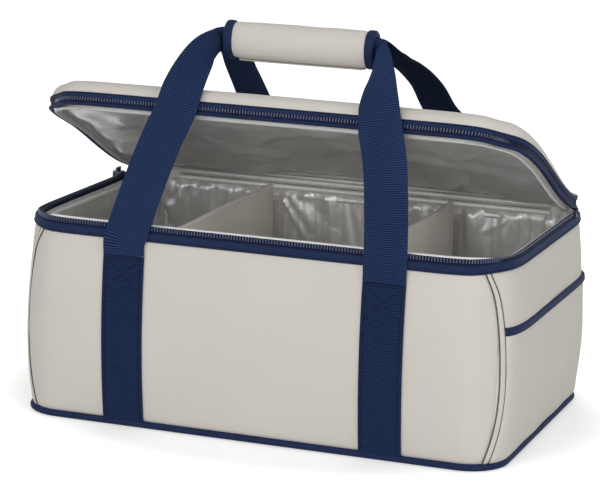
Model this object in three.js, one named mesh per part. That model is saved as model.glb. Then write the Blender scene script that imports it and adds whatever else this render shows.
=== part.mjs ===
// Soft-sided insulated carry bag: zipped lid, webbing handles with a padded grip, two dividers.
// Millimetres, +Z up, front towards -Y, origin on the floor under the middle of the base.
import * as THREE from 'three';

// Body
const BODY_LENGTH = 436;
const BODY_DEPTH = 284;
const BODY_HEIGHT = 180; // floor to the zip line
const CORNER_RADIUS = 34;
const WALL_BULGE = 7; // how far the walls swell at half height
const BASE_TAPER = 0.5; // how far the walls draw in at the floor
const PIPING_DIAMETER = 6;
const WELT_WIDTH = 6;
const WELT_PROUD = 0.8;

// Layers, from the outside in
const GAP = 0.3;
const FABRIC = 1.2;
const FOAM = 5;
const LINING = 0.8;
const BASE_BOARD = 3;

// Rim, zip and hinge, measured from the zip line
const TEETH_START = 1.2;
const TEETH_END = 3.9;
const TEETH_PROUD = 1.2;
const TAPE_START = 1.9;
const TAPE_END = 4.7;
const BINDING_WIDTH = 8.5;
const BINDING_PROUD = 0.8;
const LINING_EDGE_START = 1.5;
const LINING_EDGE_END = 4.5;
const ZIP_END_FROM_BACK = 57;
const ZIP_STOP_LENGTH = 4;
const HINGE_BAND_WIDTH = 18;

// Lid
const LID_OPEN_DEGREES = 19.7;
const LID_BINDING_WIDTH = 6.7;
const LID_SHOULDER_DROP = 13;
const LID_SHOULDER_RUN = 12;
const LID_CROWN = 4.5;
const LID_RECESS = 5.2;

// Side pocket
const POCKET_HEIGHT = 121;
const POCKET_BINDING = 7.5;

// Webbing handles
const WEB_WIDTH = 38;
const WEB_THICKNESS = 1.5;
const STRAP_SPACING = 235; // centre to centre
const SEWN_TOP_BELOW_RIM = 27;
const STRAIGHT_START = 12; // upright webbing above the sewn end
const LID_SWING_CLEARANCE = 1.2;
const HANDLE_RISE = 154; // zip line to the middle of the grip
const GRIP_SIDEWAYS = 9; // the arch leans to the right
const GRIP_FORWARD = 65;
const SHOULDER_BELOW_GRIP = 28; // where the front webbing starts to narrow
const SHOULDER_WEB_WIDTH = 35;
const ENTRY_WEB_WIDTH = 25; // webbing drawn together just outside the grip
const ENTRY_STRAIGHT = 4; // level webbing beyond the grip's end
const ENTRY_SIDEWAYS = 9;
const ENTRY_AWAY = 13;
const ENTRY_DROP = 7;
const REAR_BOW = 10; // how far the rear webbing stands off the back
const REAR_BOW_RISE = 40;
const REAR_SWAY = 13; // how far the rear loop hangs to the left on its way up

// Padded grip
const GRIP_LENGTH = 136;
const GRIP_HEIGHT = 31.2;
const GRIP_DEPTH = 23.2;
const GRIP_PADDING = 4;
const GRIP_BINDING_LENGTH = 8;
const GRIP_BINDING_PROUD = 0.7;
const GRIP_WEB_WIDTH = 20;
const GRIP_WEB_APART = 3; // between the two loops inside the grip
const GRIP_FLAP = 1.4;
const GRIP_FLAP_MARGIN = 2;
const GRIP_FLAP_FROM_DEGREES = 280; // round the grip, from the rear upwards
const GRIP_FLAP_TO_DEGREES = 380;
const HOOK_TAPE = 0.6;
const HOOK_FROM_DEGREES = 285;
const HOOK_TO_DEGREES = 335;

// Zip slider and pull
const SLIDER_FROM_BACK = 72;
const SLIDER_LENGTH = 9;
const SLIDER_HEIGHT = 9;
const SLIDER_PLATE = 1.6;
const SLIDER_LUG = 2.3;
const PULL_WIDTH = 6;
const PULL_LENGTH = 30;
const PULL_THICKNESS = 1.2;

// Dividers
const DIVIDER_SPACING = 180; // centre to centre
const DIVIDER_THICKNESS = 6;
const DIVIDER_BELOW_RIM = 10;
const DIVIDER_TAPE = 1.2;
const DIVIDER_TAPE_WIDTH = 20;
const DIVIDER_TAPE_MARGIN = 4;

// Facets
const CORNER_STEP_DEGREES = 15;
const WALL_ROW_HEIGHT = 28;
const SHOULDER_ROWS = 4;
const RIBBON_STEPS = 4; // between two points of a path
const FRONT_STOPS = 5;
const REAR_STOPS = 4;
const GRIP_FACETS = 28;
const PIPING_FACETS = 8;

// Levels and insets that several pieces share
const cornerX = BODY_LENGTH / 2 - CORNER_RADIUS;
const cornerY = BODY_DEPTH / 2 - CORNER_RADIUS;
const foamInset = FABRIC + GAP;
const liningInset = foamInset + FOAM + GAP;
const wallThickness = liningInset + LINING;
const wallFoot = PIPING_DIAMETER + GAP;
const baseBoardBottom = FABRIC + GAP;
const baseFoamBottom = baseBoardBottom + BASE_BOARD + GAP;
const baseLiningBottom = baseFoamBottom + FOAM + GAP;
const baseTop = baseLiningBottom + LINING;
const wallTop = BODY_HEIGHT - LINING_EDGE_END - GAP;
const bindingTop = BODY_HEIGHT - TAPE_END - GAP;
const bindingBottom = bindingTop - BINDING_WIDTH;
const zipEndY = BODY_DEPTH / 2 - ZIP_END_FROM_BACK;
const sewnTop = BODY_HEIGHT - SEWN_TOP_BELOW_RIM;
const hingeY = BODY_DEPTH / 2;
const rad = THREE.MathUtils.degToRad;

// How far the wall stands out from the rim's outline at height z
function swell(z) {
  const t = z / BODY_HEIGHT;
  return 4 * WALL_BULGE * t * (1 - t) - BASE_TAPER * (1 - t) ** 2;
}

// A station is a place on the rim's outline: a corner centre, or a point between two, and a direction
function station(x, y, degrees) {
  return { x, y, nx: Math.cos(rad(degrees)), ny: Math.sin(rad(degrees)) };
}

function stationPoint(place, offset) {
  const reach = CORNER_RADIUS + offset;
  return [place.x + reach * place.nx, place.y + reach * place.ny];
}

// From one value to another, stopping at each whole step between, so that layers share their facets
function stepped(from, to, step) {
  const values = [from];
  for (let n = Math.floor(from / step) + 1; n * step < to; n++) {
    values.push(n * step);
  }
  return [...values, to];
}

// Stations round one corner, from one bearing to another, counter-clockwise from above
function arc(sideX, sideY, from, to) {
  const bearings = stepped(from, to, CORNER_STEP_DEGREES);
  return bearings.map((degrees) => station(sideX * cornerX, sideY * cornerY, degrees));
}

const frontCorners = [...arc(-1, -1, 180, 270), ...arc(1, -1, 270, 360)];
const backCorners = [...arc(1, 1, 0, 90), ...arc(-1, 1, 90, 180)];
const wholeRim = [...frontCorners, ...backCorners];

// The four walls run between the middles of the corners, drawn back by a margin at each end
const wallCorners = {
  front: [[-1, -1, 270], [1, -1, 270]],
  right: [[1, -1, 360], [1, 1, 0]],
  back: [[1, 1, 90], [-1, 1, 90]],
  left: [[-1, 1, 180], [-1, -1, 180]],
};

function wallRun(side, margin) {
  const back = 45 - THREE.MathUtils.radToDeg(margin / CORNER_RADIUS);
  const [[firstX, firstY, firstTo], [lastX, lastY, lastFrom]] = wallCorners[side];
  const first = arc(firstX, firstY, firstTo - back, firstTo);
  const last = arc(lastX, lastY, lastFrom, lastFrom + back);
  return [...first, ...last];
}

function weltRun(sideX, sideY, middle) {
  const half = THREE.MathUtils.radToDeg(WELT_WIDTH / 2 / CORNER_RADIUS);
  return arc(sideX, sideY, middle - half, middle + half);
}

function flatRun(side, middleX, width) {
  const facing = side < 0 ? 270 : 90;
  const ends = [middleX + side * width / 2, middleX - side * width / 2];
  return ends.map((x) => station(x, side * cornerY, facing));
}

// The zip runs from the back of the left side round the front, and the hinge takes the rest
const zipRun = [station(-cornerX, zipEndY, 180), ...frontCorners, station(cornerX, zipEndY, 0)];
const hingeStartY = zipEndY + ZIP_STOP_LENGTH + 2 * GAP;
const hingeRun = hingeStartY < cornerY
  ? [station(cornerX, hingeStartY, 0), ...backCorners, station(-cornerX, hingeStartY, 180)]
  : backCorners;

// A closed mesh from points and triangles, turned so that its faces point out
function solid(points, triangles) {
  const a = new THREE.Vector3();
  const b = new THREE.Vector3();
  const c = new THREE.Vector3();
  let volume = 0;
  for (const [i, j, k] of triangles) {
    volume += a.fromArray(points[i]).dot(b.fromArray(points[j]).cross(c.fromArray(points[k])));
  }
  const facing = volume < 0 ? triangles.map(([i, j, k]) => [i, k, j]) : triangles;
  const geometry = new THREE.BufferGeometry();
  geometry.setAttribute('position', new THREE.Float32BufferAttribute(points.flat(), 3));
  geometry.setIndex(facing.flat());
  geometry.computeVertexNormals();
  return geometry;
}

// Skins between rings of equally many points; a loft that isn't closed has a flat cap at both ends
function loft(rings, closed, capTriangles) {
  const count = rings[0].length;
  const triangles = [];
  const last = closed ? rings.length : rings.length - 1;
  for (let r = 0; r < last; r++) {
    const next = (r + 1) % rings.length;
    for (let i = 0; i < count; i++) {
      const j = (i + 1) % count;
      triangles.push([r * count + i, next * count + i, next * count + j]);
      triangles.push([r * count + i, next * count + j, r * count + j]);
    }
  }
  if (!closed) {
    const end = (rings.length - 1) * count;
    for (const [i, j, k] of capTriangles) {
      triangles.push([i, j, k]);
      triangles.push([end + i, end + k, end + j]);
    }
  }
  return solid(rings.flat(), triangles);
}

// Sweeps an outline of [offset, height] points along stations
function sweep(stations, outline, closed = false) {
  const flat = outline.map(([offset, z]) => new THREE.Vector2(offset, z));
  const upright = THREE.ShapeUtils.isClockWise(flat) ? [...outline].reverse() : outline;
  const caps = THREE.ShapeUtils.triangulateShape(upright.map(([d, z]) => new THREE.Vector2(d, z)), []);
  const rings = stations.map((place) => upright.map(([d, z]) => [...stationPoint(place, d), z]));
  return loft(rings, closed, caps);
}

function box(low, high, bottom, top) {
  return [[low, bottom], [high, bottom], [high, top], [low, top]];
}

// The outline of a wall layer that follows the swell, between two insets
function layer(bottom, top, outerInset, innerInset) {
  const heights = stepped(bottom, top, WALL_ROW_HEIGHT);
  const outer = heights.map((z) => [swell(z) - outerInset, z]);
  const inner = heights.map((z) => [swell(z) - innerInset, z]).reverse();
  return [...outer, ...inner];
}

function circle(offset, z, diameter) {
  const points = [];
  for (let i = 0; i < PIPING_FACETS; i++) {
    const angle = ((i + 0.5) * 2 * Math.PI) / PIPING_FACETS;
    const reach = diameter / 2 / Math.cos(Math.PI / PIPING_FACETS);
    points.push([offset + reach * Math.cos(angle), z + reach * Math.sin(angle)]);
  }
  return points;
}

// A flat plate of the rim's outline, at an offset from it
function plate(offset, bottom, top) {
  const shape = new THREE.Shape(wholeRim.map((place) => new THREE.Vector2(...stationPoint(place, offset))));
  const geometry = new THREE.ExtrudeGeometry(shape, { depth: top - bottom, bevelEnabled: false });
  return geometry.translate(0, 0, bottom);
}

// A closed cap: rows of [offset, height] from the edge to the middle, above and below
function cap(topRows, topMiddle, bottomRows, bottomMiddle) {
  const count = wholeRim.length;
  const rows = [...[...bottomRows].reverse(), ...topRows];
  const points = rows.flatMap(([d, z]) => wholeRim.map((place) => [...stationPoint(place, d), z]));
  const bottom = points.push([0, 0, bottomMiddle]) - 1;
  const top = points.push([0, 0, topMiddle]) - 1;
  const triangles = [];
  for (let i = 0; i < count; i++) {
    const j = (i + 1) % count;
    for (let r = 0; r < rows.length - 1; r++) {
      const here = r * count;
      const next = here + count;
      triangles.push([here + i, here + j, next + j], [here + i, next + j, next + i]);
    }
    const end = (rows.length - 1) * count;
    triangles.push([end + i, end + j, top], [j, i, bottom]);
  }
  return solid(points, triangles);
}

// Webbing along a path of { at, width, facing }
function ribbon(path) {
  const curve = new THREE.CatmullRomCurve3(path.map((stop) => stop.at));
  const steps = (path.length - 1) * RIBBON_STEPS;
  const rings = [];
  for (let i = 0; i <= steps; i++) {
    const t = i / steps;
    const index = Math.min(Math.floor(i / RIBBON_STEPS), path.length - 2);
    const share = i / RIBBON_STEPS - index;
    const width = THREE.MathUtils.lerp(path[index].width, path[index + 1].width, share);
    const facing = path[index].facing.clone().lerp(path[index + 1].facing, share);
    const middle = curve.getPoint(t);
    const along = curve.getTangent(t);
    const face = facing.clone().addScaledVector(along, -facing.dot(along)).normalize();
    const across = along.clone().cross(face);
    const corner = (w, f) => middle.clone()
      .addScaledVector(across, (w * width) / 2)
      .addScaledVector(face, (f * WEB_THICKNESS) / 2)
      .toArray();
    rings.push([corner(-1, -1), corner(1, -1), corner(1, 1), corner(-1, 1)]);
  }
  return loft(rings, false, [[0, 1, 2], [0, 2, 3]]);
}

// A stretch of the grip's oval tube, whole or between two bearings from the rear, upwards
const gripMiddle = new THREE.Vector3(GRIP_SIDEWAYS, -GRIP_FORWARD, BODY_HEIGHT + HANDLE_RISE);

function ovalPoint(x, proud, degrees) {
  const y = gripMiddle.y + (GRIP_DEPTH / 2 + proud) * Math.cos(rad(degrees));
  const z = gripMiddle.z + (GRIP_HEIGHT / 2 + proud) * Math.sin(rad(degrees));
  return [x, y, z];
}

function ovalTube(fromX, toX, inner, outer, from = 0, to = 360) {
  const whole = to - from === 360;
  const steps = Math.round((GRIP_FACETS * (to - from)) / 360);
  const rings = [];
  for (let i = 0; i < (whole ? steps : steps + 1); i++) {
    const angle = from + ((to - from) * i) / steps;
    const corners = [[fromX, inner], [toX, inner], [toX, outer], [fromX, outer]];
    rings.push(corners.map(([x, proud]) => ovalPoint(x, proud, angle)));
  }
  return loft(rings, whole, [[0, 1, 2], [0, 2, 3]]);
}

// Finishes
function finish(color, roughness, metalness = 0) {
  return new THREE.MeshStandardMaterial({ color, roughness, metalness });
}

const canvas = finish(0xcdc8be, 0.8);
const navyTrim = finish(0x26325c, 0.75);
const navyWeb = finish(0x222d57, 0.85);
const silverLining = finish(0xb4b3b0, 0.45);
const dividerCloth = finish(0xb9b5ac, 0.85);
const foamFinish = finish(0xe6e4de, 0.95);
const boardFinish = finish(0x4a4a4c, 0.7);
const toothFinish = finish(0x1c2647, 0.45);
const metalFinish = finish(0x8f9298, 0.35, 0.9);
const hookFinish = finish(0x1a2140, 0.95);

const bag = new THREE.Group();

function add(name, geometry, material, parent = bag) {
  const mesh = new THREE.Mesh(geometry, material);
  mesh.name = name;
  parent.add(mesh);
  return mesh;
}

// Base
const pipingMiddle = -BASE_TAPER;
const boardOffset = pipingMiddle - PIPING_DIAMETER / 2 - GAP;
const floorOffset = swell(wallFoot) - wallThickness - GAP;
add('base_panel', plate(boardOffset, 0, FABRIC), canvas);
add('base_board', plate(boardOffset, baseBoardBottom, baseBoardBottom + BASE_BOARD), boardFinish);
add('base_foam', plate(floorOffset, baseFoamBottom, baseFoamBottom + FOAM), foamFinish);
add('base_liner', plate(floorOffset, baseLiningBottom, baseTop), silverLining);
const pipingRound = circle(pipingMiddle, PIPING_DIAMETER / 2, PIPING_DIAMETER);
add('base_piping', sweep(wholeRim, pipingRound, true), navyTrim);

// Walls: outer cloth between the corner welts, then foam, then lining
const outerTop = bindingBottom - GAP;
for (const side of Object.keys(wallCorners)) {
  const clothRun = wallRun(side, WELT_WIDTH / 2 + GAP);
  const innerRun = wallRun(side, GAP / 2);
  add(`${side}_panel`, sweep(clothRun, layer(wallFoot, outerTop, 0, FABRIC)), canvas);
  add(`${side}_foam`, sweep(innerRun, layer(wallFoot, wallTop, foamInset, foamInset + FOAM)), foamFinish);
  add(`${side}_liner`, sweep(innerRun, layer(wallFoot, wallTop, liningInset, wallThickness)), silverLining);
}
const weltCorners = {
  front_left: [-1, -1, 225],
  front_right: [1, -1, 315],
  back_right: [1, 1, 45],
  back_left: [-1, 1, 135],
};
for (const [name, [sideX, sideY, middle]] of Object.entries(weltCorners)) {
  const welt = sweep(weltRun(sideX, sideY, middle), layer(wallFoot, outerTop, -WELT_PROUD, FABRIC));
  add(`${name}_welt`, welt, canvas);
}

// Slip pocket on the right side
const pocketRun = wallRun('right', WELT_WIDTH / 2 + GAP);
const pocketOuter = -GAP - FABRIC;
const pocketTop = POCKET_HEIGHT - POCKET_BINDING;
add('pocket_panel', sweep(pocketRun, layer(wallFoot, pocketTop - GAP, pocketOuter, -GAP)), canvas);
const pocketBinding = layer(pocketTop, POCKET_HEIGHT, pocketOuter - BINDING_PROUD, -GAP);
add('pocket_binding', sweep(pocketRun, pocketBinding), navyTrim);

// Rim of the body, below the zip line
const belowZip = (start, end, outerInset, innerInset) =>
  layer(BODY_HEIGHT - end, BODY_HEIGHT - start, outerInset, innerInset);
const bodyTeeth = belowZip(TEETH_START, TEETH_END, -GAP - TEETH_PROUD, -GAP);
const rimBinding = layer(bindingBottom, bindingTop, -BINDING_PROUD, FABRIC);
const rimLining = belowZip(LINING_EDGE_START, LINING_EDGE_END, foamInset, wallThickness);
add('rim_binding', sweep(wholeRim, rimBinding, true), navyTrim);
add('rim_lining_edge', sweep(wholeRim, rimLining, true), silverLining);
add('body_zip_tape', sweep(zipRun, belowZip(TAPE_START, TAPE_END, 0, FABRIC)), navyTrim);
add('body_zip_teeth', sweep(zipRun, bodyTeeth), toothFinish);
add('hinge_tape', sweep(hingeRun, belowZip(GAP, TAPE_END, 0, FABRIC)), navyTrim);
for (const [name, sideX, facing] of [['left', -1, 180], ['right', 1, 0]]) {
  const from = zipEndY + GAP;
  const stop = [from, from + ZIP_STOP_LENGTH].map((y) => station(sideX * cornerX, y, facing));
  add(`${name}_zip_stop`, sweep(stop, bodyTeeth), metalFinish);
}
const bandTop = wallTop;
const bandBottom = bandTop - HINGE_BAND_WIDTH;
const bandRun = flatRun(1, 0, 2 * cornerX);
const bandLayer = layer(bandBottom, bandTop, wallThickness + GAP, wallThickness + GAP + LINING);
add('hinge_lining_band', sweep(bandRun, bandLayer), silverLining);

// Webbing sewn to the front and back, up to where the handles come free
const strapX = STRAP_SPACING / 2;
const sewnLayer = layer(wallFoot, sewnTop - GAP / 2, -GAP - WEB_THICKNESS, -GAP);
for (const [face, side] of [['front', -1], ['back', 1]]) {
  add(`${face}_left_strap`, sweep(flatRun(side, -strapX, WEB_WIDTH), sewnLayer), navyWeb);
  add(`${face}_right_strap`, sweep(flatRun(side, strapX, WEB_WIDTH), sewnLayer), navyWeb);
}

// Lid, made closed and then turned open about the hinge line
const lid = new THREE.Group();
lid.position.set(0, hingeY, BODY_HEIGHT);
lid.rotation.x = -rad(LID_OPEN_DEGREES);
bag.add(lid);
const closedLid = new THREE.Group();
closedLid.position.set(0, -hingeY, -BODY_HEIGHT);
lid.add(closedLid);

// Outlines of the lid's rim, above the zip line
const aboveZip = (start, end, inner, outer) => box(inner, outer, BODY_HEIGHT + start, BODY_HEIGHT + end);
const lidBindingBottom = BODY_HEIGHT + TAPE_END + GAP;
const lidBindingTop = lidBindingBottom + LID_BINDING_WIDTH;
const lidLiningTop = BODY_HEIGHT + LINING_EDGE_START + LID_RECESS;
const shoulderFoot = lidBindingTop + GAP;
const shoulderTop = shoulderFoot + LID_SHOULDER_DROP;
const crownRows = [[0.45, 0.36], [0.9, 0.72]]; // shares of the way to the corner's centre and of the crown

// Rows of the lid's dome, a given depth under its surface
function domeRows(depth) {
  const rows = [];
  for (let i = 0; i <= SHOULDER_ROWS; i++) {
    const angle = ((i / SHOULDER_ROWS) * Math.PI) / 2;
    const offset = -LID_SHOULDER_RUN * (1 - Math.cos(angle)) - depth * Math.cos(angle);
    rows.push([offset, shoulderFoot + (LID_SHOULDER_DROP - depth) * Math.sin(angle)]);
  }
  for (const [inward, upward] of crownRows) {
    const inset = THREE.MathUtils.lerp(LID_SHOULDER_RUN, CORNER_RADIUS, inward);
    rows.push([-inset, shoulderTop - depth + LID_CROWN * upward]);
  }
  return rows;
}

const crownTop = shoulderTop + LID_CROWN;
add('lid_panel', cap(domeRows(0), crownTop, domeRows(FABRIC), crownTop - FABRIC), canvas, closedLid);
const lidFoamBottom = lidLiningTop + LINING + GAP;
const lidFoamTop = domeRows(foamInset);
const lidFoamSide = [-foamInset, lidFoamBottom];
add('lid_foam', cap(lidFoamTop, crownTop - foamInset, [lidFoamSide], lidFoamBottom), foamFinish, closedLid);
add('lid_liner', plate(-foamInset, lidLiningTop, lidLiningTop + LINING), silverLining, closedLid);
const lidBinding = box(-FABRIC, BINDING_PROUD, lidBindingBottom, lidBindingTop);
add('lid_binding', sweep(wholeRim, lidBinding, true), navyTrim, closedLid);
const lidLiningEdgeEnd = LINING_EDGE_START + LID_RECESS - GAP;
const lidLiningEdge = aboveZip(LINING_EDGE_START, lidLiningEdgeEnd, -wallThickness, -foamInset);
add('lid_lining_edge', sweep(wholeRim, lidLiningEdge, true), silverLining, closedLid);
const lidTeeth = aboveZip(TEETH_START, TEETH_END, GAP, GAP + TEETH_PROUD);
add('lid_zip_tape', sweep(zipRun, aboveZip(TAPE_START, TAPE_END, -FABRIC, 0)), navyTrim, closedLid);
add('lid_zip_teeth', sweep(zipRun, lidTeeth), toothFinish, closedLid);
add('lid_hinge_tape', sweep(hingeRun, aboveZip(GAP, TAPE_END, -FABRIC, 0)), navyTrim, closedLid);

// Handles: each loop runs from one sewn strap up into the grip and down to the other
const gripEnd = GRIP_LENGTH / 2;
const webMiddle = GAP + WEB_THICKNESS / 2;
const gripWebMiddle = GRIP_WEB_APART / 2 + WEB_THICKNESS / 2;
const freeOut = swell(sewnTop) + GAP + webMiddle;
const freeStart = sewnTop + GAP / 2;
const lidReach = BODY_DEPTH + GAP + TEETH_PROUD + LID_SWING_CLEARANCE;

// The front webbing stands just outside the arc that the lid's front edge follows
function frontY(rise) {
  return hingeY - Math.sqrt(lidReach ** 2 - rise ** 2) - WEB_THICKNESS;
}

const towardsFront = new THREE.Vector3(0, -1, 0);
const towardsBack = new THREE.Vector3(0, 1, 0);

function stop(x, y, rise, width, facing = towardsFront) {
  return { at: new THREE.Vector3(x, y, BODY_HEIGHT + rise), width, facing };
}

// A stop of the front webbing on the lid's arc, its face turned straight out from the hinge
function arcStop(x, rise, width) {
  const y = frontY(rise);
  return stop(x, y, rise, width, new THREE.Vector3(0, y - hingeY, rise).normalize());
}

// Stops inside and just beyond the grip on one side, in order away from its middle
function gripStops(side, y) {
  const reaches = [0, gripEnd - 3 * ENTRY_STRAIGHT, gripEnd - ENTRY_STRAIGHT, gripEnd + ENTRY_STRAIGHT];
  return reaches.map((reach) => stop(GRIP_SIDEWAYS + side * reach, y, HANDLE_RISE, GRIP_WEB_WIDTH));
}

// Powers by which the webbing leans in: evenly at 1, nearer the grip where it is higher
const leftLean = 1;
const rightLean = 2;
const rearLean = 1;
const rearArch = 1.6;
const entryReach = gripEnd + ENTRY_STRAIGHT;
const entryRise = HANDLE_RISE - ENTRY_DROP;
const freeRise = freeStart - BODY_HEIGHT;
const straightRise = freeRise + STRAIGHT_START;

function climb(rise) {
  return (rise - straightRise) / (HANDLE_RISE - straightRise);
}

function leanX(side, rise, lean) {
  return THREE.MathUtils.lerp(side * strapX, GRIP_SIDEWAYS + side * entryReach, climb(rise) ** lean);
}

// Upright webbing just above the sewn end, in front or behind
function straightStops(side, y) {
  return [freeRise, straightRise].map((rise) => stop(side * strapX, y, rise, WEB_WIDTH));
}

function entryStop(side, y) {
  return stop(GRIP_SIDEWAYS + side * (entryReach + ENTRY_SIDEWAYS), y, entryRise, ENTRY_WEB_WIDTH);
}

function frontSide(side) {
  const shoulderRise = HANDLE_RISE - SHOULDER_BELOW_GRIP;
  const path = straightStops(side, -hingeY - freeOut);
  for (let i = 0; i <= FRONT_STOPS; i++) {
    const rise = (shoulderRise * i) / FRONT_STOPS;
    const width = i < FRONT_STOPS ? WEB_WIDTH : SHOULDER_WEB_WIDTH;
    path.push(arcStop(leanX(side, rise, side < 0 ? leftLean : rightLean), rise, width));
  }
  return [...path, entryStop(side, -GRIP_FORWARD - ENTRY_AWAY)];
}

function rearSide(side) {
  const bowY = hingeY + REAR_BOW;
  const entryY = -GRIP_FORWARD + ENTRY_AWAY;
  const path = straightStops(side, hingeY + freeOut);
  path.push(stop(leanX(side, 0, rearLean), bowY, 0, WEB_WIDTH));
  for (let i = 0; i < REAR_STOPS; i++) {
    const share = i / REAR_STOPS;
    const rise = THREE.MathUtils.lerp(REAR_BOW_RISE, entryRise, 1 - (1 - share) ** rearArch);
    const x = leanX(side, rise, rearLean) - REAR_SWAY * Math.sin(Math.PI * climb(rise) ** 2);
    path.push(stop(x, THREE.MathUtils.lerp(bowY, entryY, share), rise, WEB_WIDTH));
  }
  return [...path, entryStop(side, entryY)];
}

function handlePath(sidePath, y) {
  const left = [...gripStops(-1, y)].reverse();
  const right = gripStops(1, y).slice(1);
  return [...sidePath(-1), ...left, ...right, ...[...sidePath(1)].reverse()];
}

const rearPath = handlePath(rearSide, -GRIP_FORWARD + gripWebMiddle);
add('front_handle', ribbon(handlePath(frontSide, -GRIP_FORWARD - gripWebMiddle)), navyWeb);
add('rear_handle', ribbon(rearPath.map((place) => ({ ...place, facing: towardsBack }))), navyWeb);

// Padded grip wrapped round both loops, closed by a hook tape under its flap
const gripLeft = GRIP_SIDEWAYS - gripEnd;
const gripRight = GRIP_SIDEWAYS + gripEnd;
const wrapLeft = gripLeft + GRIP_BINDING_LENGTH + GAP;
const wrapRight = gripRight - GRIP_BINDING_LENGTH - GAP;
const hookProud = 2 * GAP + HOOK_TAPE;
const flapProud = hookProud + HOOK_TAPE + GAP;
add('grip_wrap', ovalTube(wrapLeft, wrapRight, -GRIP_PADDING, 0), canvas);
const bindingTube = (from, to) => ovalTube(from, to, -GRIP_PADDING, GRIP_BINDING_PROUD);
add('grip_left_binding', bindingTube(gripLeft, gripLeft + GRIP_BINDING_LENGTH), navyTrim);
add('grip_right_binding', bindingTube(gripRight - GRIP_BINDING_LENGTH, gripRight), navyTrim);
const flapFrom = wrapLeft + GRIP_FLAP_MARGIN;
const flapTo = wrapRight - GRIP_FLAP_MARGIN;
const hookArc = [HOOK_FROM_DEGREES, HOOK_TO_DEGREES];
const flapArc = [GRIP_FLAP_FROM_DEGREES, GRIP_FLAP_TO_DEGREES];
add('grip_loop_tape', ovalTube(flapFrom, flapTo, GAP, GAP + HOOK_TAPE, ...hookArc), hookFinish);
add('grip_hook_tape', ovalTube(flapFrom, flapTo, hookProud, hookProud + HOOK_TAPE, ...hookArc), hookFinish);
add('grip_flap', ovalTube(flapFrom, flapTo, flapProud, flapProud + GRIP_FLAP, ...flapArc), canvas);

// Zip slider on the left side, its plate outside both rows of teeth and its bridge between them
const sliderY = hingeY - SLIDER_FROM_BACK;
const plateInner = swell(BODY_HEIGHT - TEETH_END) + GAP + TEETH_PROUD + GAP;
const plateOuter = plateInner + SLIDER_PLATE;
const lugOuter = plateOuter + SLIDER_LUG;
const half = SLIDER_PLATE / 2;
const sliderOutline = [
  [-FABRIC, -half], [plateInner, -half], [plateInner, -SLIDER_HEIGHT / 2], [plateOuter, -SLIDER_HEIGHT / 2],
  [plateOuter, -half], [lugOuter, -half], [lugOuter, half], [plateOuter, half],
  [plateOuter, SLIDER_HEIGHT / 2], [plateInner, SLIDER_HEIGHT / 2], [plateInner, half], [-FABRIC, half],
].map(([offset, z]) => [offset, BODY_HEIGHT + z]);
const sliderRun = (width) => [width / 2, -width / 2].map((along) => station(-cornerX, sliderY + along, 180));
add('zip_slider', sweep(sliderRun(SLIDER_LENGTH), sliderOutline), metalFinish);
const pullInner = lugOuter + GAP;
const pullTop = BODY_HEIGHT + half;
const pullOutline = box(pullInner, pullInner + PULL_THICKNESS, pullTop - PULL_LENGTH, pullTop);
add('zip_pull', sweep(sliderRun(PULL_WIDTH), pullOutline), metalFinish);

// Dividers, cut to the walls and held front and back by hook tape
const tapeInset = wallThickness + GAP;
const edgeInset = tapeInset + DIVIDER_TAPE + GAP;
const dividerBottom = baseTop + GAP;
const dividerTop = BODY_HEIGHT - DIVIDER_BELOW_RIM;
const dividerHeights = stepped(dividerBottom, dividerTop, WALL_ROW_HEIGHT);
const dividerEdge = dividerHeights.map((z) => [swell(z) - edgeInset, z]);
const dividerFront = dividerEdge.map(([offset, z]) => [-BODY_DEPTH / 2 - offset, z]);
const dividerBack = dividerEdge.map(([offset, z]) => [BODY_DEPTH / 2 + offset, z]).reverse();
const dividerOutline = [...dividerFront, ...dividerBack].map(([y, z]) => new THREE.Vector2(y, z));
const dividerShape = new THREE.Shape(dividerOutline);
const tapeBottom = dividerBottom + DIVIDER_TAPE_MARGIN;
const tapeTop = bandBottom - DIVIDER_TAPE_MARGIN;
const tapeLayer = layer(tapeBottom, tapeTop, tapeInset, tapeInset + DIVIDER_TAPE);
for (const [name, side] of [['left', -1], ['right', 1]]) {
  const middleX = (side * DIVIDER_SPACING) / 2;
  const board = new THREE.ExtrudeGeometry(dividerShape, { depth: DIVIDER_THICKNESS, bevelEnabled: false });
  const divider = add(`${name}_divider`, board, dividerCloth);
  divider.rotation.set(Math.PI / 2, Math.PI / 2, 0);
  divider.position.x = middleX - DIVIDER_THICKNESS / 2;
  add(`${name}_divider_front_tape`, sweep(flatRun(-1, middleX, DIVIDER_TAPE_WIDTH), tapeLayer), hookFinish);
  add(`${name}_divider_back_tape`, sweep(flatRun(1, middleX, DIVIDER_TAPE_WIDTH), tapeLayer), hookFinish);
}

export default bag;
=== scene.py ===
import math

import bmesh
import bpy
import numpy as np
from mathutils import Matrix, Vector


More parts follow.
